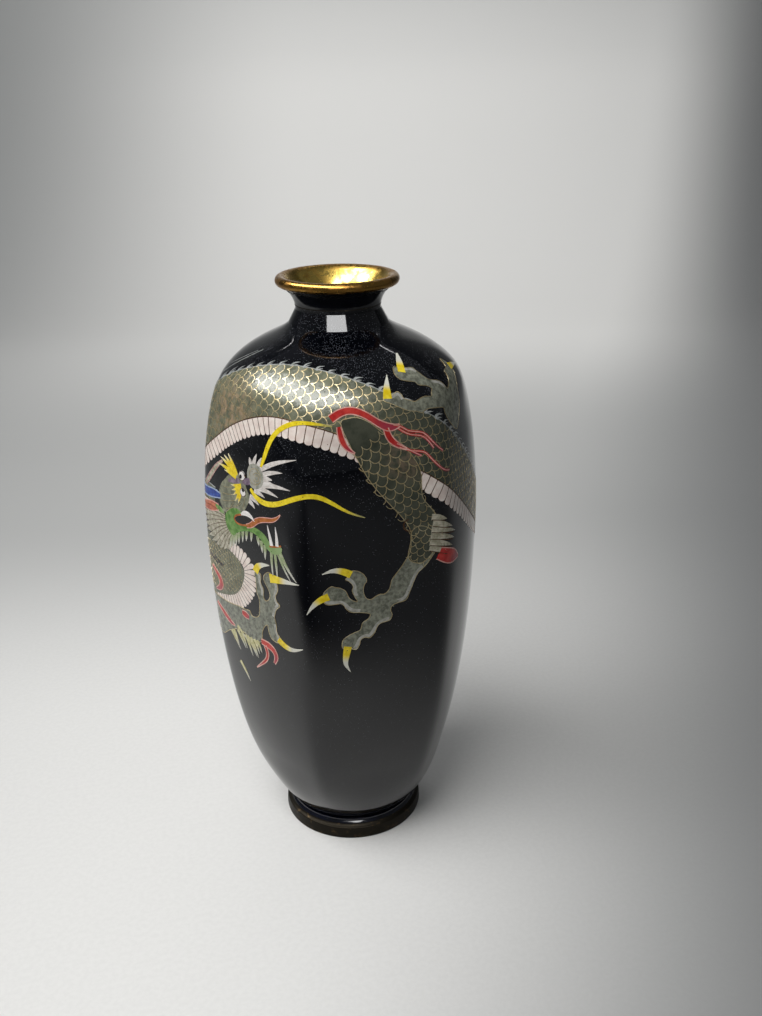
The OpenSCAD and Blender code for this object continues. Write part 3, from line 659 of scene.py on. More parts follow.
def make_repeater():
    """Geometry Nodes that set a shape on each guide point, turned and sized by it."""
    group = bpy.data.node_groups.new("repeat_on_guides", "GeometryNodeTree")
    face = group.interface
    face.new_socket("Guides", in_out="INPUT", socket_type="NodeSocketGeometry")
    for name, kind, value in (("Shape", "Object", None), ("Finish", "Material", None),
                              ("Uneven", "Float", 0.0), ("Seed", "Int", 0)):
        made = face.new_socket(name, in_out="INPUT", socket_type="NodeSocket" + kind)
        if value is not None:
            made.default_value = value
    face.new_socket("Pieces", in_out="OUTPUT", socket_type="NodeSocketGeometry")
    tree = Tree(group)
    given = tree.node("NodeGroupInput").outputs

    def attribute(name, kind):
        made = tree.node("GeometryNodeInputNamedAttribute", data_type=kind)
        made.inputs["Name"].default_value = name
        return next(s for s in made.outputs if s.enabled and s.name == "Attribute")

    def chance(low, high, add):
        made = tree.node("FunctionNodeRandomValue", data_type="FLOAT")
        tree.feed(made.inputs[2], low)
        tree.feed(made.inputs[3], high)
        tree.feed(made.inputs["Seed"], tree.calc("ADD", given["Seed"], add))
        return next(s for s in made.outputs if s.enabled)

    shape = tree.node("GeometryNodeObjectInfo", transform_space="ORIGINAL")
    tree.feed(shape.inputs["Object"], given["Shape"])
    back = tree.calc("MULTIPLY", given["Uneven"], -1.0)
    turn = tree.calc("ADD", attribute("turn", "FLOAT"), chance(back, given["Uneven"], 0.0))
    spin = tree.node("ShaderNodeCombineXYZ")
    tree.feed(spin.inputs[2], turn)
    grow = tree.calc("ADD", 1.0, chance(back, given["Uneven"], 1.0))
    size = tree.node("ShaderNodeVectorMath", operation="SCALE")
    tree.feed(size.inputs[0], attribute("size", "FLOAT_VECTOR"))
    tree.feed(size.inputs["Scale"], grow)
    put = tree.node("GeometryNodeInstanceOnPoints")
    tree.feed(put.inputs["Points"], given["Guides"])
    tree.feed(put.inputs["Instance"], shape.outputs["Geometry"])
    tree.feed(put.inputs["Rotation"], spin.outputs[0])
    tree.feed(put.inputs["Scale"], size.outputs[0])
    real = tree.node("GeometryNodeRealizeInstances")
    tree.feed(real.inputs[0], put.outputs[0])
    dressed = tree.node("GeometryNodeSetMaterial")
    tree.feed(dressed.inputs["Geometry"], real.outputs[0])
    tree.feed(dressed.inputs["Material"], given["Finish"])
    tree.feed(tree.node("NodeGroupOutput").inputs[0], dressed.outputs[0])
    return group


REPEATER = make_repeater()
INPUTS = {s.name: s.identifier for s in REPEATER.interface.items_tree if s.in_out == "INPUT"}


def repeat(shapes, guides, lift, material, uneven=0.0, seed=0, depth=0.25):
    """Sets a flat shape, drawn about its own origin, on guides of (x, y, turn,
    width, length). Returns flat points with their lift, faces and UVs."""
    points, faces, uvs = slab(shapes, 0.0, depth)
    pattern = bpy.data.objects.new("pattern", finish_mesh("pattern", points, faces, uvs))
    mesh = bpy.data.meshes.new("guides")
    mesh.from_pydata([(g[0], g[1], lift) for g in guides], [], [])
    mesh.attributes.new("turn", "FLOAT", "POINT").data.foreach_set(
        "value", [g[2] for g in guides])
    mesh.attributes.new("size", "FLOAT_VECTOR", "POINT").data.foreach_set(
        "vector", [v for g in guides for v in (g[3], g[4], 1.0)])
    holder = bpy.data.objects.new("guides", mesh)
    for made in (pattern, holder):
        bpy.context.scene.collection.objects.link(made)
    modifier = holder.modifiers.new("repeat", "NODES")
    modifier.node_group = REPEATER
    for name, value in (("Shape", pattern), ("Finish", material), ("Uneven", uneven),
                        ("Seed", seed)):
        modifier[INPUTS[name]] = value
    graph = bpy.context.evaluated_depsgraph_get()
    done = bpy.data.meshes.new_from_object(holder.evaluated_get(graph))
    for made in (holder, pattern):
        bpy.data.objects.remove(made)
    return done


def lay(name, flat_mesh, material, slot, *nodes, turn=PICTURE_TURN):
    """Lays a repeated flat mesh on the vase as one piece."""
    count = len(flat_mesh.vertices)
    places = np.zeros(count * 3)
    flat_mesh.vertices.foreach_get("co", places)
    placed = on_vase(places.reshape(-1, 3) + [turn * GIRTH, 0, 0])
    flat_mesh.vertices.foreach_set("co", placed.ravel())
    flat_mesh.name = name
    flat_mesh.shade_smooth()
    flat_mesh.set_sharp_from_angle(angle=math.radians(35))
    flat_mesh.update()
    return set_down(name, flat_mesh, material, slot, *nodes)


def along(net, pitch, first=0.0, last=1.0):
    """Evenly spaced places on a net: plane point, direction, half width, narrowing."""
    shares = np.linspace(first, last, 400)
    places = spline(net, shares)
    plane = to_plane(places)
    narrow = narrowing(plane)
    steps = np.diff(plane, axis=0) * np.stack([narrow[1:], np.ones(399)], 1)
    length = np.append(0, np.cumsum(np.linalg.norm(steps, axis=1)))
    count = max(1, int(length[-1] / pitch))
    want = (np.arange(count) + 0.5) * length[-1] / count
    found = np.interp(want, length, shares)
    ahead, behind = to_plane(spline(net, found + 0.004)), to_plane(spline(net, found - 0.004))
    centre = spline(net, found)
    plane, go = to_plane(centre), ahead - behind
    narrow = narrowing(plane)
    go = go * np.stack([narrow, np.ones(len(go))], 1)
    go /= np.linalg.norm(go, axis=1)[:, None]
    return [(p, g, h, n) for p, g, h, n in zip(plane, go, centre[:, 2], narrow)]


def beside(place, across):
    """The point so many millimetres to the left of a place on a net."""
    p, go, _, narrow = place
    return p[0] - go[1] * across / narrow, p[1] + go[0] * across


def scale_guides(net, right, left, columns, pitch, first=0.0, last=1.0):
    """Guides for the left and the right halves of overlapping scales."""
    halves = ([], [])
    for row, place in enumerate(along(net, pitch, first, last)):
        _, go, half, _ = place
        width = (left - right) * half / columns
        turn = math.atan2(go[1], go[0]) - math.pi / 2
        shift = 0.5 if row % 2 == 0 else 0.0
        for column in range(columns + (0 if row % 2 == 0 else 1)):
            across = right * half + (column + shift) * width
            x, y = beside(place, across)
            guide = (x, y, turn, width, width)
            if column + shift > 0.1:
                halves[1].append(guide)
            if column + shift < columns - 0.1:
                halves[0].append(guide)
    return halves


def half_arc(side):
    """Half of the curved wire round one scale, one unit wide, bulging along y."""
    turn = np.linspace(0, math.pi / 2, 6)
    path = np.stack([side * 0.5 * np.sin(turn), 0.62 * np.cos(turn) - 0.31], 1)
    return ribbon(path, 0.032, -0.032)


def lay_scales(name, lists, lift, material, slot, seed=1):
    """Lays both halves of the scale wires of several nets as two pieces."""
    for side, label in ((-1, "left"), (1, "right")):
        guides = [g for halves in lists for g in halves[0 if side < 0 else 1]]
        flat = repeat([half_arc(side)], guides, lift, material, 0.03, seed)
        lay(f"{name}_{label}", flat, material, slot)


# ---------------------------------------------------------------- metal and ground

def arc(centre, radius, start, end, steps=9):
    turn = np.radians(np.linspace(start, end, steps))
    return [(centre[0] + radius * math.cos(a), centre[1] + radius * math.sin(a)) for a in turn]


shell("black_ground", BODY_FOOT, BORDER - 0.2, 210, black_glaze, "ground_black",
      "ground_enamel", "neck_enamel")
shell("neck_border", BORDER + 0.2, GLAZE_TOP, 20, border_glaze, "border_black",
      "neck_border_enamel", columns=144)
shell("neck_ring_wire", BORDER - 0.22, BORDER + 0.22, 4, ring_wire, "gilt_wire",
      "neck_wire_ring", columns=144, lift=0.03)

turned("mouth_rim_brass",
       arc((21.7, 238.0), 2.0, -130, 95, 20)
       + [(20.7, 239.8), (19.8, 239.3), (19.0, 238.3), (17.7, 236.7), (16.0, 234.4),
          (14.6, 231.6), (13.8, 228.8), (13.4, 226.0), (13.9, 226.0), (14.3, 228.4),
          (15.0, 231.0), (16.4, 233.6), (18.6, 235.8)],
       rim_brass, "gilt_brass", "mouth_rim")
turned("foot_ring_bronze",
       [(26.3, 0.3), (26.6, 0.0), (29.7, 0.0)] + arc((29.7, 0.6), 0.6, -60, 0, 5)
       + [(30.25, 2.6), (30.1, 4.7)] + arc((29.5, 4.9), 0.6, 10, 80, 5)
       + [(28.9, 5.9), (28.6, 6.5), (25.8, 6.5), (25.8, 4.6), (26.3, 3.6)],
       foot_bronze, "bronze", "foot_ring")
turned("foot_cove_glaze",
       [(25.6, 6.5), (28.5, 6.5), (28.3, 6.9), (27.8, 7.3), (27.5, 7.8), (27.5, 8.4),
        (27.9, 8.8), (25.6, 8.8)],
       navy_glaze, "foot_navy", "foot_enamel")

scallop = ribbon(np.stack([np.linspace(-0.5, 0.5, 9),
                           -0.42 * np.cos(np.linspace(-0.5, 0.5, 9) * math.pi)], 1), 0.04, -0.04)
scallops = 30
lay("neck_scallop_wire",
    repeat([scallop], [(2 * math.pi * GIRTH * i / scallops, up_outline(235.3), 0,
                        2 * math.pi * GIRTH / scallops, 3.6) for i in range(scallops)],
           0.08, ring_wire, depth=0.2), ring_wire, "gilt_wire", turn=0)

# ---------------------------------------------------------------- the long body

neck_net = [
    (-67, 158, 5), (-79, 159, 5.5), (-92, 155, 5.5), (-95, 145, 5.5), (-88, 138, 5.5),
    (-76, 136, 5)]
trunk_net = [
    (-80, 116, 6.6), (-97, 113, 8.5), (-112, 118, 10), (-123, 131, 11.5), (-124, 148, 12.5),
    (-114, 162, 13.5), (-98, 173, 14), (-82, 182, 14.4), (-69, 192, 14.6), (-54, 199.5, 14.5),
    (-34, 204.5, 14.2), (-12, 203, 14.2), (6, 197.5, 14.4), (20, 190.5, 13.8), (37, 182, 13.2),
    (51, 171, 13), (67, 158, 12.4), (84, 146, 11.4), (102, 136, 10), (121, 128, 9),
    (140, 124, 8), (158, 127, 6.5), (172, 136, 5), (180, 148, 3.5), (182, 160, 1.8),
    (181, 170, 0.6)]
coil_net = [
    (-59, 142, 2.0), (-52, 141, 2.8), (-44.6, 137.5, 3.6), (-44, 130.5, 3.9),
    (-47.5, 124, 3.7), (-53, 118.6, 3.3), (-60, 116.4, 2.4), (-67, 115.4, 1.6),
    (-73, 114.4, 1.1)]
NECK_BELLY, TRUNK_BELLY = (0.1, 0.9), (0.2, 0.92)       # where the belly shows
NECK_EDGE, TRUNK_EDGE = 0.3, -0.52                      # its inner edge across the body
BODY_LIFT, WIRE_LIFT = 0.05, 0.08

inlay("body_scale_fields", [
    band(neck_net, -1, 1, last=NECK_BELLY[0]),
    band(neck_net, -1, NECK_EDGE, first=NECK_BELLY[0], last=NECK_BELLY[1]),
    band(neck_net, -1, 1, first=NECK_BELLY[1]),
    band(trunk_net, -1, 1, last=TRUNK_BELLY[0]),
    band(trunk_net, TRUNK_EDGE, 1, first=TRUNK_BELLY[0], last=TRUNK_BELLY[1]),
    band(trunk_net, -1, 1, first=TRUNK_BELLY[1])],
    BODY_LIFT, scale_glaze, "scale_green", "scale_enamel")
inlay("coil_scale_field", [patch([
    (-58, 140.2), (-51.8, 137.8), (-48.2, 132.5), (-49.8, 127), (-55, 121.8), (-63, 118),
    (-72, 115.4), (-82, 113), (-90, 118), (-91, 130), (-85, 138), (-75, 142), (-66, 142.4)])],
    BODY_LIFT - 0.005, scale_glaze, "scale_green")
inlay("coil_gap", [band([(-78, 132.5, 0.8), (-72, 132, 1.3), (-66, 130.6, 1.1),
                         (-63.5, 131.2, 0.2)])], BODY_LIFT + 0.02, mouth_glaze, "ground_black")

lay_scales("body_scale_wires", [
    scale_guides(trunk_net, TRUNK_EDGE, 1, 5, 2.8, TRUNK_BELLY[0], 0.9),
    scale_guides(trunk_net, -1, 1, 5, 2.8, 0.01, TRUNK_BELLY[0]),
    scale_guides(neck_net, -1, NECK_EDGE, 3, 2.2, 0.05, 0.97),
    scale_guides([(-86, 128, 10), (-72, 128.6, 10.5), (-60, 130, 9.5), (-50, 131, 6)],
                 -1, 1, 8, 1.9)],
    WIRE_LIFT, wire_metal, "gilt_wire")


def belly_guides(net, edge, outer, pitch, span, lean):
    """Guides for the belly plates, from the inner edge outwards."""
    guides = []
    for place in along(net, pitch, *span):
        _, go, half, _ = place
        x, y = beside(place, edge * half)
        out = math.atan2(go[1], go[0]) + (math.pi / 2 if outer > 0 else -math.pi / 2)
        guides.append((x, y, out - math.pi / 2 + lean, pitch, abs(outer - edge) * half))
    return guides


def plate_shape(near, far):
    """A belly plate one unit long with a rounded outer end, and the wire beside it."""
    y = np.array([0.0, 0.25, 0.5, 0.7, 0.82, 0.9, 0.955, 0.99, 1.0])
    end = np.array([1.0, 1.0, 1.0, 0.99, 0.95, 0.84, 0.64, 0.36, 0.12])
    half = (near + (far - near) * y) * end
    return (ribbon(np.stack([y * 0, y], 1), half, -half, 4),
            ribbon(np.stack([(near + (far - near) * y) * 1.04, y * 0.93], 1), 0.045, -0.045))


def lay_plates(name, shapes, guides, plate_nodes=(), wire_nodes=()):
    """Lays belly plates on their guides, then the wires between them."""
    plate, wire = shapes
    lay(f"{name}_plates", repeat([plate], guides, BODY_LIFT, belly_glaze, 0.015, 3),
        belly_glaze, "belly_cream", *plate_nodes)
    lay(f"{name}_plate_wires", repeat([wire], guides, WIRE_LIFT, brown_wire, 0.015, 3),
        brown_wire, "gilt_wire", *wire_nodes)


trunk_plates = [guide for pitch, span in (
    (2.5, (0.2, 0.355)), (3.0, (0.355, 0.4)), (3.5, (0.4, 0.7)), (3.0, (0.7, 0.92)))
    for guide in belly_guides(trunk_net, TRUNK_EDGE, -1.0, pitch, span, 0.12)]
trunk_plates += belly_guides(neck_net, NECK_EDGE, 1.0, 2.3, NECK_BELLY, 0.05)
coil_plates = belly_guides(coil_net, -1.0, 1.0, 2.05, (0, 1), 0.0)
lay_plates("belly", plate_shape(0.48, 0.48), trunk_plates, ["belly_enamel"], ["belly_wires"])
lay_plates("coil", plate_shape(0.36, 0.58), coil_plates)

inlay("body_outline_wires",
      edges(trunk_net, 0.4, sides=(1,)) + edges(neck_net, 0.4, sides=(-1,))
      + [band(trunk_net, -1, -1, -0.2, 0.2, 0, TRUNK_BELLY[0], 0.8),
         band(trunk_net, -1, -1, -0.2, 0.2, TRUNK_BELLY[1], 1, 0.8)],
      WIRE_LIFT + 0.01, spine_glaze, "gilt_wire", "outline_wires")
inlay("belly_edge_wires", [
    band(trunk_net, TRUNK_EDGE, TRUNK_EDGE, -0.2, 0.2, *TRUNK_BELLY, 0.8),
    band(neck_net, NECK_EDGE, NECK_EDGE, -0.2, 0.2, *NECK_BELLY, 0.8)],
    WIRE_LIFT + 0.01, brown_wire, "gilt_wire")

fin = [(0, -0.4, 0.42), (0.2, 0.6, 0.36), (0.9, 1.25, 0.22), (2.6, 1.7, 0.03)]
fork = [(0.5, -0.3, 0.3), (1.1, 0.35, 0.2), (2.3, 0.7, 0.03)]


def free_shape(net):
    places = spline(net, np.linspace(0, 1, 8))
    return ribbon(places[:, :2], places[:, 2], -places[:, 2])


spines = []
for place in along(trunk_net, 4.9, 0.12, 0.93):
    _, direction, half_width, _ = place
    left_side = beside(place, half_width)
    spines.append((*left_side, math.atan2(direction[1], direction[0]), 1.5, 1.25))
lay("back_spines", repeat([free_shape(fin), free_shape(fork)], spines, BODY_LIFT + 0.01,
                          spine_glaze, 0.16, 5),
    spine_glaze, "spine_grey", "back_spines")

# ---------------------------------------------------------------- limbs

thigh = [
    (-0.5, 196), (3, 197.6), (7.5, 197.4), (12.5, 195), (18.5, 190.4), (24.5, 186.4),
    (29, 182), (32, 176), (32, 170), (32.4, 165.5), (36, 160.5), (39, 155.5), (40, 150),
    (37.5, 146), (34.5, 142), (30.5, 140), (25.5, 143), (27, 152), (24, 158.5),
    (18, 165.5), (11, 174), (6.5, 181.5), (3, 188)]
hind_foot = [
    (27, 153), (26.5, 146), (23.5, 141), (21, 138), (18.5, 135), (17.5, 131.5), (15.5, 129.6),
    (13.5, 129.7), (11.5, 129), (9.5, 128), (7.5, 129), (6.5, 132), (7, 134.5), (8, 136),
    (7.5, 137.8), (6, 139.5), (4, 140.5), (1.8, 140.6), (0.6, 138.6), (-0.5, 137.4), (1, 136.5),
    (2.5, 134.4), (2, 132.5), (3, 130), (4, 127.8), (2, 128.5), (0.5, 130), (-0.5, 132.5),
    (-2.5, 134), (-4.5, 134.5), (-6, 135), (-8, 133.8), (-9.4, 131.6), (-8.4, 129.8), (-9, 128.4),
    (-7.5, 127.4), (-4.5, 127.5), (-2, 127.4), (-0.5, 125), (1.5, 123.5), (5, 123), (9, 122),
    (8.5, 120), (6, 118.4), (5, 115.5), (2.5, 114.5), (0, 113.4), (-2.4, 111.5), (-2.5, 108),
    (0.8, 107.6), (3, 107), (4.5, 109), (5, 111), (7, 112), (9, 111.5), (11, 113.5),
    (12.5, 116.5), (14.5, 117.5), (17.5, 118), (18.6, 120), (18, 122), (18.5, 124), (21, 125),
    (24.5, 125.6), (26, 128.5), (27.5, 132), (29.5, 136), (32, 138), (34.5, 140.5), (38, 146),
    (36, 152), (31, 155)]
fore_hand = [
    (-78, 114.5), (-69, 114.5), (-61, 115), (-54.5, 116), (-51, 116), (-47.4, 116.4),
    (-46, 114.6), (-43.5, 114.8), (-41, 116.5), (-40, 121), (-40, 124.5), (-41, 126.5),
    (-41, 129.5), (-41, 132.5), (-41.4, 135.2), (-39.4, 135.8), (-37.4, 134.8), (-38, 132),
    (-37.5, 130.5), (-36.5, 129), (-37, 126), (-36, 124.4), (-34, 125.5), (-33, 128),
    (-34, 130.5), (-35.5, 132.5), (-36, 134.5), (-34.5, 136.6), (-32, 137.4), (-30, 135),
    (-28.5, 133.4), (-28.5, 131), (-30, 128), (-29.5, 126), (-28, 124.5), (-30, 122.5),
    (-31, 120.5), (-31.5, 118.5), (-31, 115.5), (-31, 112), (-29, 109.4), (-30.5, 107.4),
    (-33, 107.4), (-35, 108.5), (-36, 111.5), (-36.2, 113.6), (-38, 112.5), (-40, 109.5),
    (-41.5, 104.4), (-45.5, 103.4), (-50, 103.4), (-54, 104.4), (-59, 104), (-66.5, 100.5),
    (-73.5, 96.5), (-80, 99), (-86, 106), (-84, 113)]
far_hand = [
    (29.5, 210.8), (30.6, 211.6), (33, 211.2), (38, 210.7), (41.5, 210.4), (42.6, 209.2),
    (45.5, 206.6), (48, 205.7), (51.5, 205), (54, 204), (55.6, 202.5), (56.5, 201.2),
    (58.5, 201.5), (61.5, 203), (63, 205), (63.5, 206.4), (68, 207), (69.5, 209.4),
    (71.5, 208.6), (74, 205.6), (72, 203), (68, 199), (67.5, 194.5), (64.5, 189.5),
    (59.5, 185.5), (55, 187.5), (51, 191), (49, 194), (48.5, 196), (43.5, 197), (39.5, 197.4),
    (37, 197), (35.5, 196.5), (33, 197.4), (29.5, 198), (26, 199.4), (22.5, 201),
    (19.2, 202.2), (19.4, 203.8), (22, 203.4), (24.5, 204.1), (26.5, 204.6), (28, 203.5),
    (28.6, 202.2), (31.5, 201.2), (33.5, 200.6), (35.5, 201), (39, 201.6), (43, 201.1),
    (44, 202.3), (45, 203.2), (43.5, 204.4), (40.5, 205), (38.5, 205.5), (37.5, 206.5),
    (34.5, 207), (30.4, 208), (29, 209.5)]
hind_leg = [
    (6, 196, 5), (12, 189, 8.5), (17.5, 182, 10.4), (21.5, 174, 10), (25, 165.5, 7),
    (30.5, 158.5, 6.4), (33.5, 152, 6), (32, 146, 5), (28, 140, 4.6), (24, 134, 4.3),
    (18.5, 127, 4.3), (12, 121, 4.6)]
rear_leg = [(132, 116, 9), (128, 106, 9), (136, 96, 6.5), (146, 90, 5), (156, 92, 4.4),
            (164, 98, 4.2), (168, 102, 3.4)]
rear_toes = [
    [(166, 100, 2.4), (172, 103, 2.3), (178, 109, 2.1), (182, 110, 1.6)],
    [(166, 99, 2.6), (173, 97, 2.3), (180, 98, 2.1), (184, 96, 1.6)],
    [(164, 97, 2.6), (166, 90, 2.3), (172, 86, 2.1), (175, 83, 1.6)]]
claws = [
    [(1.8, 139.2, 1.5), (-1.6, 141, 1.3), (-5.4, 141.7, 0.8), (-9.4, 140.2, 0.1)],
    [(-7.2, 130.9, 1.5), (-10.5, 129.8, 1.3), (-13.6, 127.2, 0.8), (-15.8, 123.6, 0.1)],
    [(-0.4, 108.6, 1.6), (-1.4, 104, 1.3), (-1.8, 100.4, 0.8), (0.4, 97, 0.1)],
    [(33.4, 209.8, 1.5), (35.8, 212.4, 1.4), (39.6, 214.8, 0.3)],
    [(21, 202.8, 1.7), (21.4, 206, 1.3), (24.4, 209.8, 0.1)],
    [(72, 206.4, 1.6), (78, 206, 1.1), (86, 205, 0.1)],
    [(-40.8, 135.4, 1.6), (-39.4, 138.2, 1.4), (-36, 139.8, 0.9), (-32.2, 140.4, 0.1)],
    [(-32.4, 135.2, 1.9), (-27.5, 135.6, 1.4), (-23, 136, 0.8), (-18.2, 135.8, 0.1)],
    [(-30.6, 109, 1.4), (-27.6, 107, 1.3), (-23.5, 106, 0.9), (-18.4, 108, 0.1)],
    [(182, 110, 1.6), (187, 109, 1.2), (192, 105, 0.1)],
    [(184, 96, 1.6), (189, 94, 1.2), (192, 89, 0.1)],
    [(175, 83, 1.6), (177, 78, 1.2), (176, 72, 0.1)]]
LIMB_LIFT, LIMB_WIRE = 0.11, 0.135
limbs = [hind_foot, fore_hand, far_hand]

inlay("hind_thigh", [patch(thigh)], LIMB_LIFT + 0.005, thigh_glaze, "leg_grey")
inlay("limb_fields", [patch(corners) for corners in limbs] + [band(rear_leg)]
      + [band(net) for net in rear_toes], LIMB_LIFT, limb_glaze, "leg_grey", "leg_enamel")
lay_scales("limb_scale_wires", [
    scale_guides(hind_leg, -1, 1, 4, 3.0, 0.08, 0.5),
    scale_guides(hind_leg, -1, 1, 3, 2.6, 0.5, 0.72),
    scale_guides(rear_leg, -1, 1, 3, 2.8, 0.0, 0.7)],
    LIMB_WIRE, wire_metal, "gilt_wire", seed=2)
inlay("limb_pale_rims",
      [rim_along(hind_foot, first, last, 1.5) for first, last in (
          (19, 24), (34, 41), (50, 59), (62, 68))]
      + [rim_along(fore_hand, first, last, -1.4) for first, last in (
          (15, 21), (29, 38), (38, 42))]
      + [rim_along(far_hand, first, last, -1.2) for first, last in ((2, 6), (7, 11), (38, 44))],
      LIMB_LIFT + 0.01, rim_glaze, "leg_grey")
inlay("limb_outline_wires", [around(corners, 0.26) for corners in limbs]
      + [around(thigh, 0.3)] + edges(rear_leg, 0.3)
      + [wire for net in rear_toes for wire in edges(net, 0.26)],
      LIMB_WIRE, wire_metal, "gilt_wire")
disc = patch(circle(0, 150, 0.5, np.arange(0, 2 * math.pi, math.pi / 4)), 0.5)
disc = (disc[0] - disc[0].mean(0), disc[1], disc[2])
pebble_nets = [
    [(-54, 109, 4.6), (-46, 109, 4), (-38, 116, 3.4), (-37, 122, 2)],
    [(10, 124, 2.4), (14, 122, 3.2), (20, 128, 3), (25, 135, 3)],
    [(24, 201.4, 1), (36, 199, 1.2), (48, 199, 2), (52, 202, 2)]]
pebbles = []
for net in pebble_nets:
    for row, place in enumerate(along(net, 1.25)):
        for share in (-0.66, 0, 0.66):
            x, y = beside(place, place[2] * share + (0.4 if row % 2 else -0.4))
            pebbles.append((x, y, 0, 0.55, 0.55))
lay("limb_pebbles", repeat([disc], pebbles, LIMB_LIFT + 0.02, pebble_glaze, 0.3, 7),
    pebble_glaze, "leg_grey")
inlay("claws", [band(n, step=0.7) for n in claws], LIMB_LIFT + 0.05, claw_glaze, "yellow",
      "claw_root_enamel", "claw_tip_enamel")

# ---------------------------------------------------------------- flames

flames = [
    [(-4.6, 197.6, 1.5), (-1, 199.6, 1.4), (4, 200.6, 1.3), (10.4, 198.4, 1.2),
     (15, 195.2, 1.1), (20.4, 192.6, 1.7), (25, 193.4, 0.4)],
    [(18.6, 192.8, 1.0), (19.6, 189.4, 1.3), (22.6, 186.6, 1.0), (27, 184.6, 0.4)],
    [(-1.3, 194.8, 0.8), (-0.6, 190.6, 1.2), (1.4, 187, 0.9), (5, 185, 0.2)],
    [(38.6, 142.4, 2.4), (43.4, 140, 3.2), (48, 138.4, 2.6), (52, 136.6, 0.3)],
    [(-41.5, 104.5, 1.1), (-37.5, 104.4, 1.5), (-34, 103, 1.2), (-32.4, 100, 1.0),
     (-34.6, 96.6, 0.5)],
    [(-39.4, 103.4, 0.8), (-38, 100.4, 0.8), (-39, 97, 0.7), (-42, 94.4, 0.6),
     (-47.5, 90.2, 0.1)],
    [(-74, 127.6, 0.5), (-69, 125, 1.2), (-66.6, 122, 1.5), (-69, 118.8, 1.2),
     (-73, 117.6, 0.3)],
    [(-74, 111, 0.6), (-68.5, 108, 1.4), (-64, 105.4, 1.2), (-60.5, 105, 0.2)],
    [(-53, 114, 0.9), (-50.6, 113.6, 1.7), (-48.2, 113.2, 0.9)],
    [(-112, 108, 1.6), (-118, 102, 2.4), (-124, 100, 1.6), (-132, 95, 0.2)],
    [(181, 168, 1.6), (178, 176, 2.6), (184, 184, 1.8), (182, 194, 0.2)],
    [(181, 168, 1.6), (188, 174, 2.2), (194, 184, 0.2)],
    [(181, 168, 1.6), (172, 174, 2.2), (168, 186, 0.2)]]
licks = [
    [(22, 193.8), (25.5, 193), (28, 191), (31.5, 190.3), (35, 189.8), (37.5, 187),
     (40, 184), (43, 181.6)],
    [(24, 192.4), (26.6, 190.6), (30, 189.2), (34.6, 188.7), (37, 186), (38.6, 183.4)],
    [(24, 185.6), (27, 184.4), (30, 183.4), (34.5, 183), (36.5, 180.5), (39, 177.5),
     (42.5, 174.2), (46, 173.5)],
    [(23, 187), (26, 185.4), (29, 183.6), (33, 181.4)]]
inlay("red_flames", [band(n, step=0.8) for n in flames], 0.16, flame_glaze, "flame_red",
      "flame_enamel")
inlay("flame_edges", [w for n in flames for w in edges(n, 0.42)]
      + [line(p, 0.34) for p in licks], 0.18, flame_edge, "flame_red")
inlay("flame_licks", [line(p, 0.9) for p in licks], 0.165, flame_glaze, "flame_red")

# ---------------------------------------------------------------- head

FACE, LINE, HAIR, DETAIL = 0.15, 0.175, 0.19, 0.22
face = [(-44.2, 168.2), (-45.5, 171), (-50, 172.8), (-55, 171.6), (-58.5, 169), (-61.8, 166),
        (-63.4, 162), (-62.4, 157.6), (-57, 154.6), (-51, 157.6), (-46.4, 158.8),
        (-43.8, 161.6), (-42.2, 165)]
nose = [(-43.8, 174.6), (-42.4, 177.6), (-39.4, 178.6), (-36, 177.6), (-34.2, 175),
        (-34.3, 172), (-36.6, 169.8), (-40, 169.2), (-42.8, 171)]
jaw = [(-50.6, 158.8), (-55, 157.6), (-58.6, 154.8), (-59.2, 151.4), (-57.4, 148.4),
       (-54, 147), (-50.4, 149.2), (-46, 150.8), (-42, 151.6), (-38, 151), (-35, 149.2),
       (-32.4, 146.8), (-29.2, 145.8), (-25.8, 147), (-25.2, 149.4), (-28.8, 149),
       (-31.4, 150.2), (-34, 152.4), (-38, 153.8), (-43, 154), (-47.5, 153.2),
       (-51.2, 152.4), (-53, 154.2), (-51, 156.2), (-47.6, 157.6)]
tongue = [(-44.5, 153.4, 0.7), (-41, 154.4, 1.1), (-38.4, 157.2, 1.1), (-33.5, 158.6, 0.9),
          (-29.5, 159, 0.8), (-26.8, 160.6, 0.5), (-25.4, 162.2, 0.1)]
mouth = [(-40.6, 155), (-44, 157), (-48, 157), (-52, 155.6), (-52.4, 153.4), (-48, 152.8),
         (-43, 153.6)]
horns = [[(-62.5, 160.8, 0.9), (-68, 160.6, 1.9), (-75, 159.4, 1.8), (-83, 161, 1.4),
          (-92, 166, 0.3)]]
curl = [(-61.5, 175, 0.3), (-65, 172.8, 0.8), (-69, 168.8, 1.0), (-72.4, 165, 1.1),
        (-74.6, 163, 0.6)]
ear = [(-64, 155.6, 1.0), (-69.5, 154.8, 2.3), (-76, 153.6, 1.8), (-83, 152, 0.3)]
whiskers = [
    [(-35.6, 178.2, 0.5), (-34.2, 181, 0.85), (-32.4, 186, 0.95), (-28.4, 192.4, 0.95),
     (-20, 196.6, 0.85), (-12, 196.4, 0.6), (-4, 195, 0.25)],
    [(-41.6, 168.8, 0.5), (-39, 166.2, 0.95), (-33, 164.4, 1.05), (-26, 166, 0.95),
     (-19.6, 169.4, 0.95), (-13, 171.2, 0.9), (-7, 169.4, 0.8), (1, 163.6, 0.5),
     (8, 161.2, 0.12)]]
brow_spikes = [((-50.6, 171.8), (-57.3, 178.8)), ((-50.8, 172.2), (-60.2, 177.6)),
               ((-51, 172), (-62.8, 176.4)), ((-51.2, 171.6), (-64.6, 173.6)),
               ((-51, 171), (-59.6, 172))]
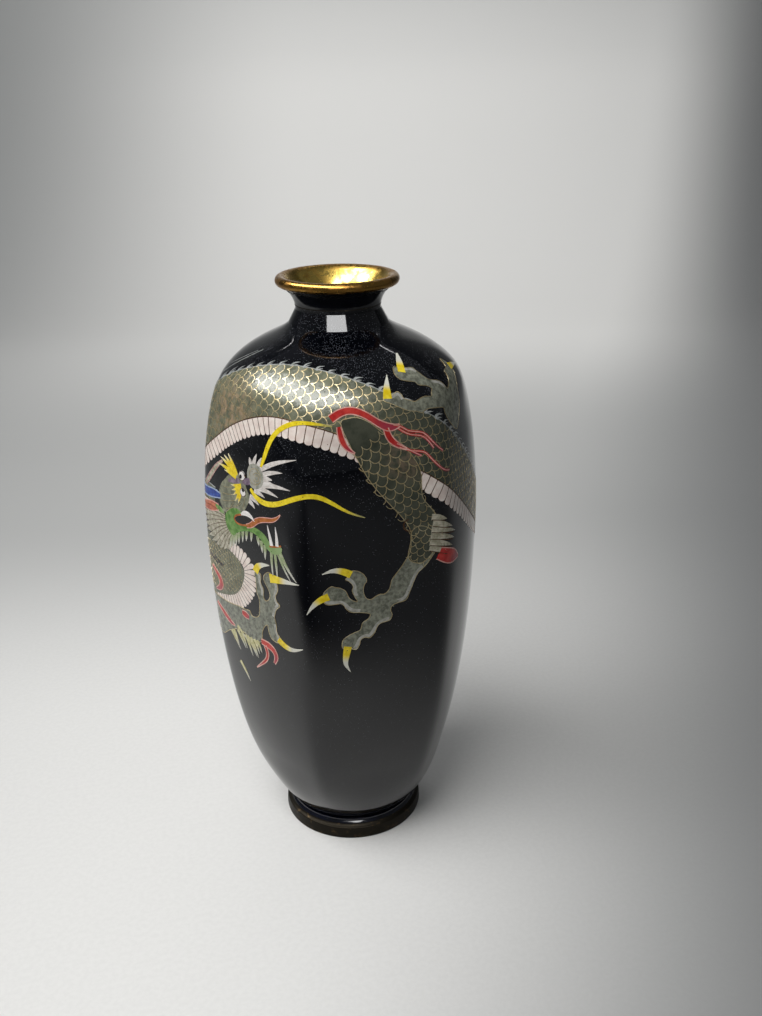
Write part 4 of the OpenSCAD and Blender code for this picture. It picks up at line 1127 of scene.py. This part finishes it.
low_brow_spikes = [((-47.6, 168.6), (-54.6, 167.4)), ((-47.8, 168.2), (-54, 165.4)),
                   ((-48, 167.6), (-53.2, 163.6)), ((-48, 167), (-51.8, 161.4)),
                   ((-47.8, 166.6), (-49.6, 161))]
nose_spikes = [((-41.4, 177.6), (-42.8, 180.4)), ((-40, 178), (-38.4, 182.4)),
               ((-37.4, 177.8), (-35.4, 181.6)), ((-36, 177), (-18, 183.6)),
               ((-34.9, 175.2), (-24.2, 178)), ((-34.6, 174), (-29.4, 174.4)),
               ((-34.8, 172.4), (-28.8, 173)), ((-35.4, 171.2), (-20.6, 172.2)),
               ((-38, 169.8), (-26.4, 168.6)), ((-39.4, 168.6), (-33.4, 167)),
               ((-42, 165.8), (-36.6, 163.4)), ((-42.6, 164), (-39, 161.6))]
chin_fringe = [((-54.6, 147.8), (-57.4, 140.2)), ((-53, 147.8), (-54.6, 141.6)),
               ((-51.4, 148.8), (-52.6, 142.6)), ((-49.6, 149.6), (-50.4, 144.4)),
               ((-47.2, 150.6), (-47.6, 145.8)), ((-44.6, 151.2), (-45.2, 147)),
               ((-41.6, 151.4), (-42, 147.6)), ((-38, 150.9), (-37.4, 147)),
               ((-36, 149.6), (-35.6, 144.8)), ((-34, 148.2), (-34.2, 142.4))]
beard = [[(-30.6, 146.8, 0.7), (-30.8, 141, 0.6), (-30.3, 136, 0.1)],
         [(-28.8, 146.4, 0.7), (-28.3, 141, 0.6), (-28.2, 135.8, 0.1)],
         [(-26.4, 147.4, 0.9), (-23.4, 142, 0.7), (-19.2, 136.6, 0.1)],
         [(-27.2, 146.6, 0.6), (-24.8, 141.4, 0.5), (-21.6, 136.4, 0.1)]]


def disc_at(angle, height, radius):
    return patch(circle(angle, height, radius, np.arange(0, 2 * math.pi, math.pi / 5)), 0.8)


def curve_at(angle, height, radius, start, end):
    turns = np.radians(np.linspace(start, end, 8))
    return line(circle(angle, height, radius, turns), 0.26, 0.6)


MANE_LOBES = 11
mane_roots = [(-59.6, 153.8), (-58.6, 150), (-55, 147)]
mane_tips = [(-79, 153.6), (-80, 147.6), (-77.6, 142.4), (-72, 139), (-65.6, 137.4),
             (-59.6, 139.2)]
inlay("mane", fan(mane_roots, mane_tips, MANE_LOBES, 2.1, 0.06) + [band(curl)], FACE - 0.01,
      mane_glaze, "white", "mane_enamel")
mane_shares = np.linspace(0, 1, MANE_LOBES)
inlay("mane_wires", [
    band([(*a, 0.1), (*((a + b) / 2 + np.array([0.2, 1.5])), 0.1), (*b, 0.07)])
    for a, b in zip(spline(mane_roots, mane_shares), spline(mane_tips, mane_shares))],
    LINE - 0.01, brown_wire, "gilt_wire")
inlay("blue_horn", [band(n) for n in horns], FACE, horn_glaze, "horn_blue", "horn_enamel")
inlay("horn_edges", [w for n in horns for w in edges(n, 0.5)], LINE, horn_edge, "horn_blue")
inlay("curl_edges", edges(curl, 0.45), LINE, curl_glaze, "white")
inlay("ear", [band(ear)], FACE, ear_glaze, "ear_red", "ear_enamel")
inlay("ear_edges", edges(ear, 0.4), LINE, flame_edge, "ear_red")
inlay("face", [patch(face)], FACE, face_glaze, "face_green", "face_enamel")
inlay("nose", [patch(nose)], FACE + 0.01, nose_glaze, "face_green")
inlay("nose_bridge", [band([(-47, 170.6, 0.8), (-44.4, 170.6, 1.4), (-42, 171.6, 1.2)]),
                      band([(-56.5, 168.6, 0.5), (-52.4, 169.6, 1.3), (-48.4, 170, 0.9)])],
      LINE, bridge_glaze, "face_green")
inlay("face_wires",
      [curve_at(-37.8, 173.4, r, 200, 520) for r in (1.2, 2.3)]
      + [curve_at(-39, 173.8, 3.4, 20, 330)]
      + [line([a, ((a[0] + b[0]) / 2, (a[1] + b[1]) / 2 - 0.8), b], 0.2) for a, b in (
          ((-50, 165), (-60.4, 162.6)), ((-49, 163), (-60.6, 159.6)),
          ((-48, 161.4), (-58.6, 156.8)), ((-52, 167.6), (-59.8, 165.4)),
          ((-45, 164.6), (-46.6, 160)), ((-53, 160.4), (-58.4, 155.4)))],
      LINE + 0.005, wire_metal, "gilt_wire")
inlay("jaw", [patch(jaw, 1.0)], FACE + 0.005, jaw_glaze, "jaw_green", "jaw_enamel")
inlay("green_cheek", [band([(-66.5, 156, 0.5), (-63.6, 155.2, 1.3), (-60, 154.6, 0.5)])],
      LINE, jaw_glaze, "jaw_green")
inlay("mouth", [patch(mouth, 1.0)], LINE - 0.01, mouth_glaze, "ground_black")
inlay("lips", [line([(-40.4, 155.4), (-43, 153.9), (-48, 152.7), (-51.8, 152.9), (-53, 154.6),
                     (-51, 156.2), (-47.4, 157.2)], 0.75),
               line([(-31.4, 148.6), (-28.6, 148.8), (-25.4, 150)], 0.7)],
      LINE, tongue_glaze, "tongue_brown")
inlay("tongue", [band(tongue)], LINE + 0.005, tongue_glaze, "tongue_brown", "tongue_enamel")
inlay("tongue_edges", edges(tongue, 0.28), HAIR, flame_edge, "tongue_brown")
inlay("chin_fringe", [spike(a, b, 0.85) for a, b in chin_fringe] + [band(n) for n in beard],
      FACE, fringe_glaze, "white")
inlay("nose_spikes", [spike(a, b, 0.95, 0.05) for a, b in nose_spikes], FACE - 0.005,
      hair_glaze, "white")
inlay("fangs", [band(n, step=0.6) for n in (
    [(-47.8, 157.2, 0.4), (-45.8, 158.4, 1.1), (-42.6, 158.4, 0.9), (-39.4, 156.4, 0.1)],
    [(-30.2, 149, 0.8), (-31, 152.5, 0.65), (-32.2, 156.8, 0.08)],
    [(-27.4, 149.4, 0.8), (-27.4, 153, 0.65), (-28, 157, 0.08)])],
    HAIR, white_glaze, "white", "fang_enamel")
inlay("brows", [spike(a, b, 0.85, -0.04) for a, b in brow_spikes]
      + [spike(a, b, 0.8, 0.04) for a, b in low_brow_spikes], HAIR, yellow_glaze, "yellow",
      "brow_enamel")
inlay("eyes", [disc_at(-47.2, 172.4, 1.9), disc_at(-46.4, 166.2, 1.7)], DETAIL - 0.02,
      white_glaze, "white", "eye_enamel")
inlay("pupils", [disc_at(-47.9, 172, 0.8), disc_at(-46.2, 167.1, 0.75)], DETAIL, pupil_glaze,
      "ground_black", "pupil_enamel")
inlay("eye_wires", [curve_at(-47.2, 172.4, 2.0, 0, 350), curve_at(-46.4, 166.2, 1.8, 0, 350)],
      DETAIL, brown_wire, "gilt_wire")
inlay("whiskers", [band(n, step=0.8) for n in whiskers], DETAIL, whisker_glaze, "yellow",
      "whisker_enamel")

# ---------------------------------------------------------------- tufts

knee_spikes = [((35.6, 157.6), (42.6, 155.4)), ((36, 155), (46, 151.4)),
               ((35.4, 152.6), (48.4, 148.8)), ((35, 150), (47.6, 146.2)),
               ((34.6, 147.6), (46, 143.6)), ((34.4, 145.4), (43.6, 141.4))]
inlay("knee_tuft", [spike(a, b, 1.25, 0.05) for a, b in knee_spikes], LIMB_WIRE + 0.01,
      mane_glaze, "white")
inlay("knee_tuft_wires", [line([(a[0], a[1] - 1.1), (b[0] - 1, b[1] - 0.3)], 0.3)
                          for a, b in knee_spikes], LIMB_WIRE + 0.03, brown_wire, "gilt_wire")
inlay("knee_curl", [line([(26, 158.4), (23.8, 157.4), (23.6, 155.2), (25.2, 153.6),
                          (27, 154)], 0.55)], LIMB_WIRE, brown_wire, "gilt_wire")
elbow_spikes = [((-64.4, 101.4), (-59, 94.2)), ((-62.4, 102.6), (-59.6, 96)),
                ((-58.6, 105.6), (-52, 101.4)), ((-59, 103.8), (-54.2, 96.8)),
                ((-55.8, 103.4), (-53, 97.2)), ((-53, 103.6), (-49.3, 94.8)),
                ((-51.4, 103.6), (-46.2, 95.6)), ((-49, 103.8), (-45.2, 95.4)),
                ((-46.6, 103.8), (-44, 97.8)), ((-44.6, 104), (-42.2, 98.8)),
                ((-61.4, 88), (-55.4, 80.2))]
inlay("elbow_tuft", [spike(a, b, 0.85, 0.04) for a, b in elbow_spikes], LIMB_WIRE + 0.01,
      straw_glaze, "hair_straw", "elbow_hair_enamel")
inlay("shoulder_hairs", [line([(-81, 205), (-72, 210.4), (-62, 215)], 0.34),
                         line([(-80, 208.4), (-72, 212), (-66, 214.4)], 0.2)],
      WIRE_LIFT, spine_glaze, "spine_grey")

# ---------------------------------------------------------------- kept CAD nodes

kept_nodes = dict.fromkeys(("copper_bowl", "copper_wall", "copper_shoulder", "copper_neck",
                            "foot_collar", "base_plate"), spun_copper)
kept_nodes |= {"base_enamel": navy_glaze, "inner_enamel": lining_glaze}
for kept, material in kept_nodes.items():
    kept_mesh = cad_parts[kept].data
    kept_mesh.materials.clear()
    kept_mesh.materials.append(material)

# ---------------------------------------------------------------- floor and light

def studio_place(right, away, up):
    """A place in the studio, in metres from the middle of the foot."""
    return RIGHT * right + AWAY * away + Vector((0, 0, up))


sweep_start, sweep_radius, wall_top, sweep_width, floor_front = 1.0, 0.7, 2.2, 3.6, -2.4
section = [(floor_front, 0.0), (-1.0, 0.0), (0.0, 0.0), (sweep_start, 0.0)]
section += [(sweep_start + sweep_radius * math.sin(a), sweep_radius * (1 - math.cos(a)))
            for a in np.linspace(0, math.pi / 2, 13)[1:]]
section.append((sweep_start + sweep_radius, wall_top))
floor_points = [studio_place(side * sweep_width, away, up)
                for away, up in section for side in (-1, 1)]
floor_mesh = bpy.data.meshes.new("paper_sweep")
floor_mesh.from_pydata(floor_points, [], [(2 * i, 2 * i + 1, 2 * i + 3, 2 * i + 2)
                                          for i in range(len(section) - 1)])
floor_mesh.shade_smooth()
floor = bpy.data.objects.new("paper_sweep", floor_mesh)
bpy.context.scene.collection.objects.link(floor)
# Painted shade on the paper, row by row: near-black in front where the floor lies in shadow,
# painted bands of light and shade behind the vase and up the wall, a painted shadow right of the
# vase, darker paper to the left.
PAPER_PAINTED_SHADE = [                            # towards, from, to (metres), colour there
    (AWAY, -0.12, -0.24, (14, 15, 18)),
    (AWAY, 0.06, 0.34, (190, 190, 188)),
    (AWAY, 0.5, 0.95, (226, 225, 222)),
    (AWAY, 1.55, 1.72, (196, 196, 194)),
    (RIGHT - AWAY * 0.35, 0.0, 0.24, (124, 125, 125)),
    (-RIGHT, 0.04, 0.65, (156, 157, 156))]


def make_paper():
    """Pale paper with painted shading: it darkens away from the lit middle, into a painted shadow
    right of the vase and a near-black band in front.
    """
    material, tree, shader = new_material("pale_paper_painted_shade")
    grain = tree.remap(tree.noise(tree.place(), 500.0, 3.0), 0.3, 0.7)
    tone = tree.mix(grain, colour(234, 233, 230), colour(238, 237, 234))
    # each row mixes painted shade or painted light into the paper
    for direction, low, high, tint in PAPER_PAINTED_SHADE:
        share = tree.remap(tree.vector("DOT_PRODUCT", tree.place(), direction), low, high)
        tone = tree.mix(share, tone, colour(*tint))
    tree.feed(shader.inputs["Base Color"], tone)
    shader.inputs["Roughness"].default_value = 0.8
    shader.inputs["Specular IOR Level"].default_value = 0.2
    return material


floor_mesh.materials.append(make_paper())


def softbox(name, place, aim, width, depth, watts):
    """A rectangular lamp at a place, turned towards another."""
    light = bpy.data.lights.new(name, "AREA")
    light.shape, light.size, light.size_y, light.energy = "RECTANGLE", width, depth, watts
    holder = bpy.data.objects.new(name, light)
    bpy.context.scene.collection.objects.link(holder)
    holder.location = place
    holder.rotation_mode = "QUATERNION"
    holder.rotation_quaternion = (aim - place).to_track_quat("-Z", "Y")
    return holder


# One overhead lamp in two layers: the upper one lights, and the lower one, which
# hangs a little nearer the vase, only shows in reflections.
overhead, overhead_aim = studio_place(-0.46, -0.4, 1.12), studio_place(0, 0, 0.1)
softbox("overhead_softbox", overhead, overhead_aim, 1.1, 0.72, 15.5).visible_glossy = False
softbox("overhead_reflection", overhead.lerp(overhead_aim, 0.04), overhead_aim,
        2.2, 0.5, 42).visible_diffuse = False
softbox("backdrop_softbox", studio_place(0, 0.75, 1.1), studio_place(0.25, 1.7, 0.2),
        1.0, 0.3, 7.5)
world = bpy.data.worlds.new("studio")
world.use_nodes = True
sky = world.node_tree.nodes["Background"]
sky.inputs["Color"].default_value = (0.9, 0.95, 1.0, 1)
sky.inputs["Strength"].default_value = 0.12
bpy.context.scene.world = world

# ---------------------------------------------------------------- camera

camera_back, camera_up = 0.402, 0.3087
yaw, pitch, roll = math.radians(2.145), math.radians(22.329), math.radians(-1.002)
forward = Vector((math.sin(yaw) * math.cos(pitch), math.cos(yaw) * math.cos(pitch),
                  -math.sin(pitch)))
level = Vector((math.cos(yaw), -math.sin(yaw), 0))
upward = level.cross(forward)
side_axis = level * math.cos(roll) + upward * math.sin(roll)
top_axis = upward * math.cos(roll) - level * math.sin(roll)
facing = Matrix((side_axis, top_axis, -forward)).transposed()
camera_data = bpy.data.cameras.new("camera")
camera_data.lens, camera_data.sensor_width = 37.28, 36
camera_data.clip_start = 0.01
camera = bpy.data.objects.new("camera", camera_data)
bpy.context.scene.collection.objects.link(camera)
camera.matrix_world = (Matrix.Translation(studio_place(0, -camera_back, camera_up))
                       @ (Matrix.Rotation(PICTURE_TURN, 3, "Z") @ facing).to_4x4())
bpy.context.scene.camera = camera
bpy.context.scene.view_settings.view_transform = "Standard"
